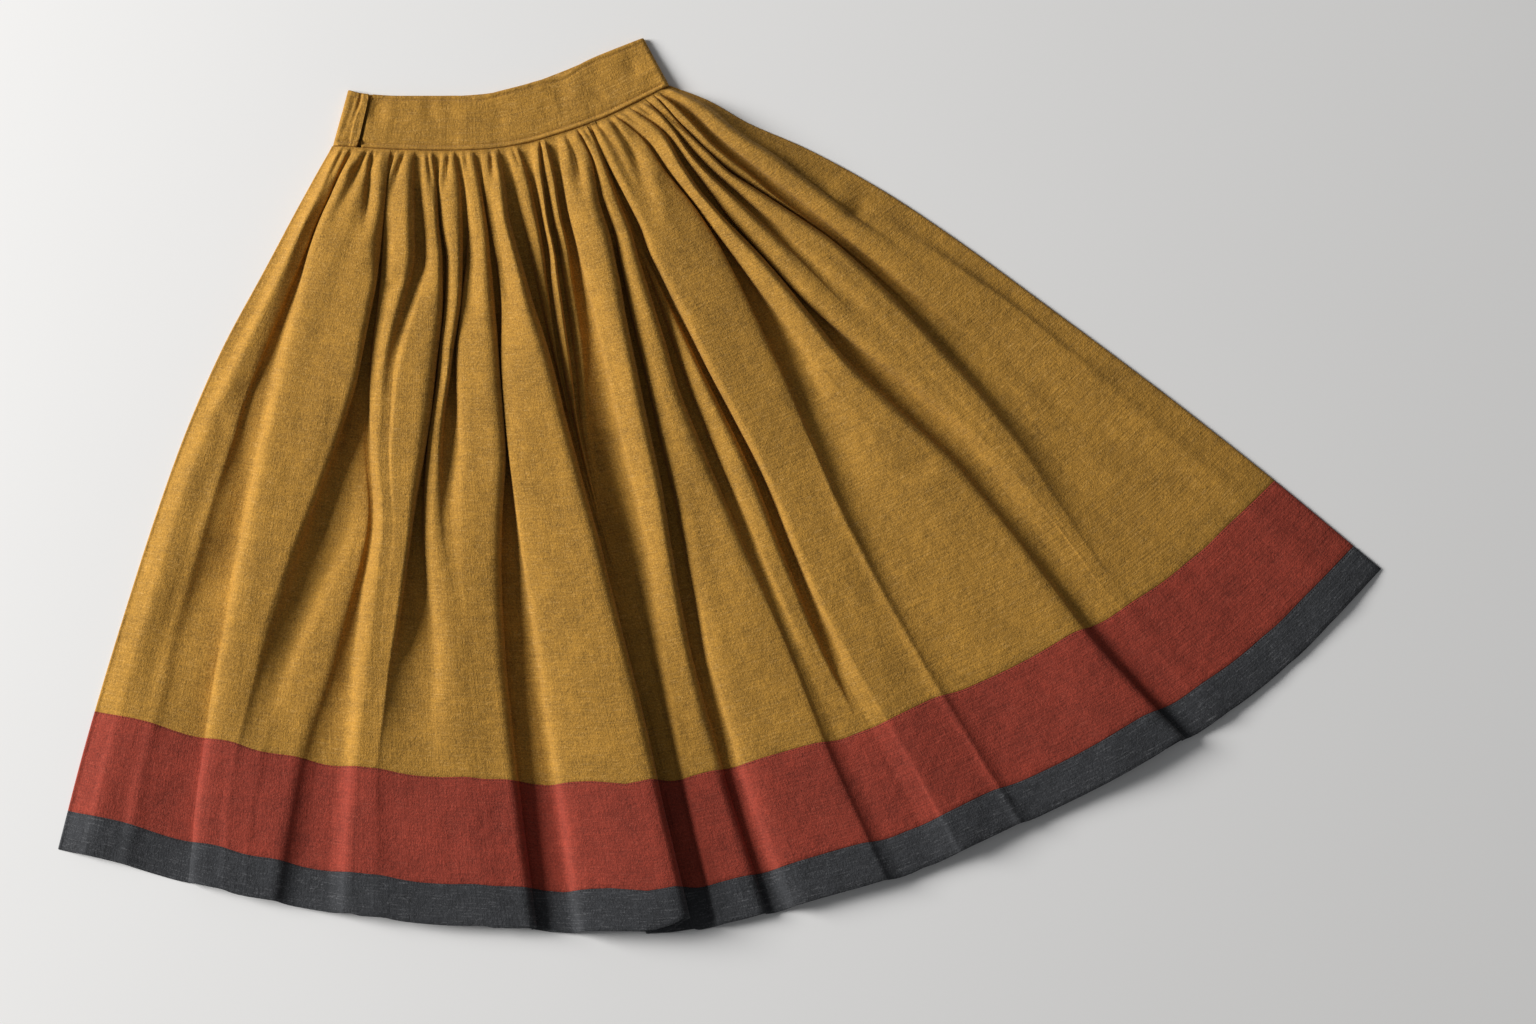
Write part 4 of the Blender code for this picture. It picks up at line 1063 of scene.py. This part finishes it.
class Waistband:
    """The strip round the waist: outer skin, rounded edges and inner skin in one closed section."""

    def __init__(self):
        self.shares, self.levels, self.kinds = band_path()
        self.outer_up = np.concatenate([[0.012, 0.02, 0.033, 0.046, 0.06, 0.073, 0.083, 0.094, 0.11],
                                        np.linspace(0.15, 0.86, 18),
                                        [0.89, 0.9, 0.913, 0.927, 0.94, 0.957, 0.973, 0.988]])
        self.section = self.make_section()

    def outward(self):
        """Return the outward directions in the upright plane along the strip, as (along, up) pairs."""
        middle_top = (BAND_TOP_AT_SEAM + BAND_TOP_AT_EDGE) / 2
        line = np.stack([self.shares * WAIST_LENGTH, self.levels * middle_top], axis=1)
        run = np.gradient(line, axis=0)
        run /= np.linalg.norm(run, axis=1, keepdims=True)
        return np.stack([-run[:, 1], run[:, 0]], axis=1)

    def place(self, up, inset):
        """Return points in mm at shares up the band and a distance in from its outer skin."""
        up = np.broadcast_to(up, (len(self.shares), np.shape(up)[-1])).copy()
        along = self.shares * WAIST_LENGTH
        dips = sum(depth * bell(along, s * WAIST_LENGTH, wide) for s, wide, depth in DIPS)
        dipped = np.where(self.kinds == FRONT, dips, 0.0)[:, None] / BAND_HEIGHT
        up -= dipped * soft_step((up - 0.5) / 0.5)
        outward = self.outward()
        s = self.shares[:, None] - inset * outward[:, :1] / WAIST_LENGTH
        low, high = waist(np.clip(s, 0, 1)), waist_top(np.clip(s, 0, 1))
        plan = low + (high - low) * up[..., None]
        top = BAND_TOP_AT_SEAM + (BAND_TOP_AT_EDGE - BAND_TOP_AT_SEAM) * np.clip(up, 0, 1)
        z = top * self.levels[:, None] - inset * outward[:, 1:]
        return np.concatenate([plan, z[..., None]], axis=-1)

    def make_section(self):
        """Return the grid of points along the strip and round its section."""
        relief = band_relief(self.shares, self.outer_up, self.kinds)
        flat_back = np.where(np.isin(self.kinds, (FRONT, LAP)), 1.0, 0.0)[:, None]
        outer = self.place(self.outer_up, -relief * flat_back)
        ends = []
        for up, side in ((1.0, 1), (0.0, -1)):
            for angle in (0.25, 0.5, 0.75):
                reach = math.sin(math.pi * angle) * 0.5 * BAND_CLOTH / BAND_HEIGHT
                depth = BAND_CLOTH * (0.5 - 0.5 * math.cos(math.pi * angle))
                ends.append((up - side * 0.012 + side * reach * 0.6, depth))
        top = self.place(np.array([u for u, _ in ends[:3]]), np.array([d for _, d in ends[:3]]))
        inner_up = np.linspace(0.985, 0.015, 9)
        inner = self.place(inner_up, BAND_CLOTH)
        low = self.place(np.array([u for u, _ in ends[:2:-1]]), np.array([d for _, d in ends[:2:-1]]))
        return np.concatenate([outer, top, inner, low], axis=1)

    def mesh(self, material):
        """Make the strip's object, closed at both ends."""
        rows, round_count = self.section.shape[:2]
        points = self.section.reshape(-1, 3)
        here = np.arange(rows - 1)[:, None] * round_count
        k = np.arange(round_count)
        after = (k + 1) % round_count
        near, far = here + k, here + after
        quads = np.stack([near, far, far + round_count, near + round_count], axis=-1)
        faces = [tuple(quad) for quad in quads.reshape(-1, 4).tolist()]
        rings = []
        for row, beside in ((0, 1), (rows - 1, rows - 2)):
            ring = self.section[row]
            away = ring - self.section[beside]
            away /= np.maximum(np.linalg.norm(away, axis=1, keepdims=True), 1e-9)
            extra = len(points) + len(rings) * round_count
            rings.append(ring * 0.8 + 0.2 * ring.mean(axis=0) + away * 0.8)
            start = row * round_count
            side = np.stack([start + k, extra + k, extra + after, start + after], axis=1)
            cap = (extra + k).tolist()
            if row:
                side = side[:, ::-1]
                cap = cap[::-1]
            faces += [tuple(quad) for quad in side.tolist()]
            faces.append(tuple(cap))
        points = np.concatenate([points, *rings])
        run = np.concatenate([[0], np.cumsum(np.linalg.norm(np.diff(self.section[:, 0], axis=0), axis=1))])
        up = np.linspace(0, 2 * BAND_HEIGHT, round_count)
        cut = np.stack(np.meshgrid(run, up, indexing="ij"), axis=-1).reshape(-1, 2)
        cut = np.concatenate([cut, cut[:round_count], cut[-round_count:]])
        return cloth_object("waistband_cloth", points, faces, cut, material)

    def line(self, high):
        """Return the stitches' lines at a height in mm up the band: along its front, and along the lap."""
        up = np.array([high / BAND_HEIGHT])
        skin = self.place(up, -band_relief(self.shares, up, self.kinds) - STITCH_LIFT)[:, 0]
        return [skin[self.kinds == kind] for kind in (FRONT, LAP)]


# Sizes and colours that a user may change


def colour(name, description, value):
    """Return a setting that is a colour."""
    return FloatVectorProperty(name=name, description=description, subtype="COLOR", size=3, min=0, max=1,
                               default=value)


def distance(name, description, value, least):
    """Return a setting that is a length in metres."""
    return FloatProperty(name=name, description=description, unit="LENGTH", default=value, min=least)


class SkirtCloth(PropertyGroup):
    """The cloth of the panels and bands."""

    mustard: colour("Mustard", "Colour of the body and waistband", (0.375, 0.190, 0.026))
    mustard_fibre: colour("Mustard fibre", "Colour of the palest fibres", (0.66, 0.43, 0.17))
    rust: colour("Rust", "Colour of the wide band", (0.262, 0.036, 0.019))
    rust_fibre: colour("Rust fibre", "Colour of its palest fibres", (0.42, 0.11, 0.07))
    charcoal: colour("Charcoal", "Colour of the hem band", (0.034, 0.036, 0.040))
    charcoal_fibre: colour("Charcoal fibre", "Colour of its palest fibres", (0.25, 0.25, 0.26))
    thickness: distance("Thickness", "Thickness of the single cloth", 0.9 * MM, 0.0002)
    hem_thickness: distance("Hem thickness", "Thickness of the hem band", 1.2 * MM, 0.0002)
    nap: FloatProperty(name="Nap", description="Strength of the brushed surface's relief",
                       subtype="FACTOR", default=0.45, min=0, max=1)
    sheen: FloatProperty(name="Sheen", description="Pale fibres seen along the surface",
                         subtype="FACTOR", default=0.03, min=0, max=1)


class SkirtSewing(PropertyGroup):
    """The stitches."""

    pitch: distance("Pitch", "Distance from one stitch to the next", 3.0 * MM, 0.001)
    length: distance("Length", "Length of a stitch", 2.2 * MM, 0.0005)
    width: distance("Width", "Thickness of the thread", 0.55 * MM, 0.0001)
    mustard_thread: colour("Mustard thread", "Colour of the thread on the body", (0.40, 0.22, 0.06))
    rust_thread: colour("Rust thread", "Colour of the thread on the wide band", (0.10, 0.018, 0.012))
    charcoal_thread: colour("Charcoal thread", "Colour of the thread on the hem", (0.03, 0.03, 0.035))


class SkirtStage(PropertyGroup):
    """The floor, the light and the camera."""

    floor: colour("Floor", "Colour of the floor", (0.80, 0.80, 0.80))
    key: FloatProperty(name="Key light", description="Power of the window-like light",
                       unit="POWER", default=680.0, min=0)
    key_size: distance("Key size", "Side of the light", 2.6, 0.1)
    fill: FloatProperty(name="Fill", description="Brightness of the room", default=0.17, min=0)
    height: distance("Camera height", "Height of the camera above the floor", CAMERA_HIGH * MM, 0.5)
    lens: FloatProperty(name="Lens", description="Focal length in millimetres",
                        unit="CAMERA", default=65.6, min=10)


# Operators


def needed(name, maker):
    """Return the material of this name, made once."""
    return bpy.data.materials.get(name) or maker()


def cloths():
    """Return the three cloths' materials."""
    cloth = bpy.context.scene.skirt_cloth
    table = (("mustard_wool", cloth.mustard, cloth.mustard_fibre, 1.0),
             ("rust_wool", cloth.rust, cloth.rust_fibre, 0.8),
             ("charcoal_wool", cloth.charcoal, cloth.charcoal_fibre, 0.8))
    return [
        needed(name, lambda n=name, c=base, p=pale, g=grain: cloth_finish(n, tuple(c), tuple(p), g, cloth))
        for name, base, pale, grain in table]


def threads():
    """Return the three threads' materials."""
    sewing = bpy.context.scene.skirt_sewing
    table = (("mustard_thread", sewing.mustard_thread), ("rust_thread", sewing.rust_thread),
             ("charcoal_thread", sewing.charcoal_thread))
    return [needed(name, lambda n=name, c=base: thread_finish(n, tuple(c))) for name, base in table]


def seam_shares(length, count):
    """Return shares down a piece of a length in mm, close together at both of its seams."""
    ends = np.array([0, 0.8, 1.8, 3.2, 5.5]) / length
    middle = np.linspace(ends[-1], 1 - ends[-1], count)[1:-1]
    return np.concatenate([ends, middle, 1 - ends[::-1]])


def sink_seams(points, cut, thickness, seams=(0, -1)):
    """Let the cloth dip into the seams at the given rows of a piece."""
    dipped = points.copy()
    for row in seams:
        away = np.abs(cut[:, :, 1] - cut[row, :, 1])
        dipped[:, :, 2] -= SEAM_DIP * thickness * bell(away, 0, SEAM_DIP_WIDTH)
    return dipped


def front_spans(front):
    """Return where the front's panel, wide band and hem band start and end, as t for every column."""
    half = HALF_SEAM_GAP / PANEL_LENGTH
    red = front.seam(RED_SEAM_SIDE, RED_SEAM_SLOPE)
    dark = front.seam(HEM_SEAM_SIDE, HEM_SEAM_SLOPE)
    top = np.full_like(red, WAIST_GAP)
    return (top, red - half), (red + half, dark - half), (dark + half, front.hem_end())


class SKIRT_OT_front(Operator):
    """Lay the front panel and its two bands"""

    bl_idname = "skirt.front"
    bl_label = "Front panel and bands"

    def execute(self, context):
        cloth = context.scene.skirt_cloth
        mustard, rust, charcoal = cloths()
        front = FrontCloth()
        spans = front_spans(front)
        near_seam = 1 - np.array([3.2, 1.8, 0.8]) / 650
        body = np.sort(np.concatenate([np.linspace(0, 1, WALL_ROWS - 4) ** 1.35, near_seam]))
        thin, thick = cloth.thickness / MM, cloth.hem_thickness / MM
        table = (
            ("front_panel", "skirt_front", mustard, MUSTARD_SLOT, body, (-1,), thin,
             (1.36, 0.645), 0.713, ["back_panel"]),
            ("front_red_band", "red_band_front", rust, RUST_SLOT, seam_shares(RED_BAND_LENGTH, RED_BAND_ROWS),
             (0, -1), thin, (1.46, 0.106), None, ["back_red_band"]),
            ("front_hem_band", "hem_band_front", charcoal, CHARCOAL_SLOT,
             seam_shares(HEM_BAND_LENGTH, HEM_BAND_ROWS), (0, -1), thick, (1.49, 0.041), None,
             ["back_hem_band"]),
        )
        for span, (name, node, material, slot, rows, seams, wall, flat, area, rests_on) in zip(spans, table):
            points, cut = front.rows(*span, rows)
            points = sink_seams(points, cut, wall, seams)
            points, cut = with_rolled_sides(points, cut)
            piece = wall_mesh(name, points, cut, wall, material)
            finish_cloth(piece, node)
        return {"FINISHED"}


class SKIRT_OT_back(Operator):
    """Lay the back panel and its two bands on the floor"""

    bl_idname = "skirt.back"
    bl_label = "Back panel and bands"

    def execute(self, context):
        mustard, rust, charcoal = cloths()
        half = HALF_SEAM_GAP / PANEL_LENGTH
        table = (
            ("back_panel", "skirt_back", mustard, MUSTARD_SLOT, WAIST_GAP, BACK_RED_SEAM - half, BACK_ROWS,
             (1.36, 0.645), 0.713),
            ("back_red_band", "red_band_back", rust, RUST_SLOT, BACK_RED_SEAM + half, BACK_HEM_SEAM - half,
             12, (1.44, 0.103), None),
            ("back_hem_band", "hem_band_back", charcoal, CHARCOAL_SLOT, BACK_HEM_SEAM + half, BACK_HEM_END,
             7, (1.43, 0.034), None),
        )
        for name, node, material, slot, start, end, rows, flat, area in table:
            points, cut = self.rows(start, end, rows)
            lower = points.copy()
            points[:, :, 2] += BACK_CLOTH
            piece = wall_mesh(name, points, cut, BACK_CLOTH, material, lower)
            finish_cloth(piece, node)
        return {"FINISHED"}

    def rows(self, start, end, count):
        """Return the back's lower skin: flat on the floor, with gathers and soft creases lifted off it."""
        power = 1.3 if start < 0.1 else 1.0
        t = (start + (end - start) * np.linspace(0, 1, count) ** power)[:, None]
        s = np.linspace(0, 1, BACK_COLUMNS + 1)[None, :] + 0 * t
        turn = s * BACK_GATHERS
        uneven = 0.8 + 0.2 * np.sin(2.3 * np.floor(turn))
        arch = (0.5 - 0.5 * np.cos(2 * math.pi * turn)) * uneven * side_window(s)
        z = BACK_GATHER_RISE * arch * gather_window(t)
        ripple = soft_noise(31, t, s, 4, 22)
        z += 0.45 * np.maximum(ripple, 0) ** 2 * soft_step(t / 0.05) * side_window(s)
        points = np.concatenate([fan(s, t), z[..., None]], axis=-1)
        cut = np.stack([s * HEM_LENGTH, t * PANEL_LENGTH + 0 * s], axis=-1)
        return points, cut


class SKIRT_OT_waistband(Operator):
    """Fold the waistband round the gathered edge"""

    bl_idname = "skirt.waistband"
    bl_label = "Waistband"

    def execute(self, context):
        piece = Waistband().mesh(cloths()[0])
        finish_cloth(piece, "waistband")
        return {"FINISHED"}


class SKIRT_OT_stitches(Operator):
    """Sew the stitches of the waistband, the bands and the closure"""

    bl_idname = "skirt.stitches"
    bl_label = "Stitches"

    def execute(self, context):
        sewing = context.scene.skirt_sewing
        mustard, rust, charcoal = threads()
        size = (sewing.pitch, sewing.length, sewing.width)
        band = Waistband()
        lines = band.line(LOW_STITCHES) + band.line(BAND_HEIGHT - HIGH_STITCHES)
        stitch_rows("waistband_stitches", lines, mustard, *size, MUSTARD_SLOT)
        front = FrontCloth()
        _, red_span, hem_span = front_spans(front)
        red_rows = front.rows(*red_span, seam_shares(RED_BAND_LENGTH, RED_BAND_ROWS))
        red_line = line_on_rows(*red_rows, SEAM_STITCHES, SEAM_STITCH_LIFT)
        stitch_rows("band_seam_stitches", [red_line], rust, *size, RUST_SLOT)
        hem_rows = front.rows(*hem_span, seam_shares(HEM_BAND_LENGTH, HEM_BAND_ROWS))
        hem_line = line_on_rows(*hem_rows, SEAM_STITCHES, SEAM_STITCH_LIFT)
        stitch_rows("hem_seam_stitches", [hem_line], charcoal, *size, CHARCOAL_SLOT)
        return {"FINISHED"}


class SKIRT_OT_stage(Operator):
    """Set the floor, the light and the camera"""

    bl_idname = "skirt.stage"
    bl_label = "Floor, light and camera"

    def execute(self, context):
        stage = context.scene.skirt_stage
        self.floor(stage)
        self.light(context, stage)
        self.camera(context, stage)
        return {"FINISHED"}

    def floor(self, stage):
        """Make the floor."""
        mesh = bpy.data.meshes.new("floor")
        side = 4.0
        mesh.from_pydata([(-side, -side, 0), (side, -side, 0), (side, side, 0), (-side, side, 0)], [],
                         [(0, 1, 2, 3)])
        mesh.materials.append(floor_finish(tuple(stage.floor)))
        floor = bpy.data.objects.new("floor", mesh)
        bpy.context.scene.collection.objects.link(floor)

    def light(self, context, stage):
        """Make the soft light from the upper left and the room's own light."""
        light = bpy.data.lights.new("key", "AREA")
        light.shape = "SQUARE"
        light.size = stage.key_size
        light.energy = stage.key
        light.color = (1.0, 0.985, 0.965)
        key = bpy.data.objects.new("key", light)
        key.location = (-5.65, 1.35, 2.75)
        aim = -key.location
        key.rotation_euler = aim.to_track_quat("-Z", "Y").to_euler()
        context.scene.collection.objects.link(key)
        world = bpy.data.worlds.new("room")
        world.use_nodes = True
        background = world.node_tree.nodes["Background"]
        background.inputs["Color"].default_value = (0.97, 0.985, 1.0, 1.0)
        background.inputs["Strength"].default_value = stage.fill
        context.scene.world = world
        context.scene.view_settings.view_transform = "Standard"

    def camera(self, context, stage):
        """Set the camera straight above, with the skirt framed as in the photograph."""
        data = bpy.data.cameras.new("camera")
        data.lens = stage.lens
        data.sensor_width = 36
        camera = bpy.data.objects.new("camera", data)
        camera.location = (*(CAMERA_OVER * MM), stage.height)
        context.scene.collection.objects.link(camera)
        context.scene.camera = camera


class SKIRT_PT_panel(Panel):
    """The skirt's sizes, colours and pieces"""

    bl_idname = "SKIRT_PT_panel"
    bl_label = "Gathered skirt"
    bl_space_type = "VIEW_3D"
    bl_region_type = "UI"
    bl_category = "Skirt"

    def draw(self, context):
        scene = context.scene
        for group in (scene.skirt_cloth, scene.skirt_sewing, scene.skirt_stage):
            box = self.layout.box()
            for name in group.bl_rna.properties.keys():
                if name not in ("rna_type", "name"):
                    box.prop(group, name)
        for operator in OPERATORS:
            self.layout.operator(operator.bl_idname)


OPERATORS = (SKIRT_OT_stage, SKIRT_OT_back, SKIRT_OT_front, SKIRT_OT_waistband, SKIRT_OT_stitches)
GROUPS = (SkirtCloth, SkirtSewing, SkirtStage)


def register():
    """Register the groups, the operators and the panel."""
    for kind in (*GROUPS, *OPERATORS, SKIRT_PT_panel):
        bpy.utils.register_class(kind)
    bpy.types.Scene.skirt_cloth = PointerProperty(type=SkirtCloth)
    bpy.types.Scene.skirt_sewing = PointerProperty(type=SkirtSewing)
    bpy.types.Scene.skirt_stage = PointerProperty(type=SkirtStage)


def unregister():
    """Take everything that register added away again."""
    del bpy.types.Scene.skirt_stage
    del bpy.types.Scene.skirt_sewing
    del bpy.types.Scene.skirt_cloth
    for kind in reversed((*GROUPS, *OPERATORS, SKIRT_PT_panel)):
        bpy.utils.unregister_class(kind)


def main():
    """Make the skirt and its surroundings."""
    register()
    bpy.ops.skirt.stage()
    bpy.ops.skirt.back()
    bpy.ops.skirt.front()
    bpy.ops.skirt.waistband()
    bpy.ops.skirt.stitches()


if __name__ == "__main__":
    main()
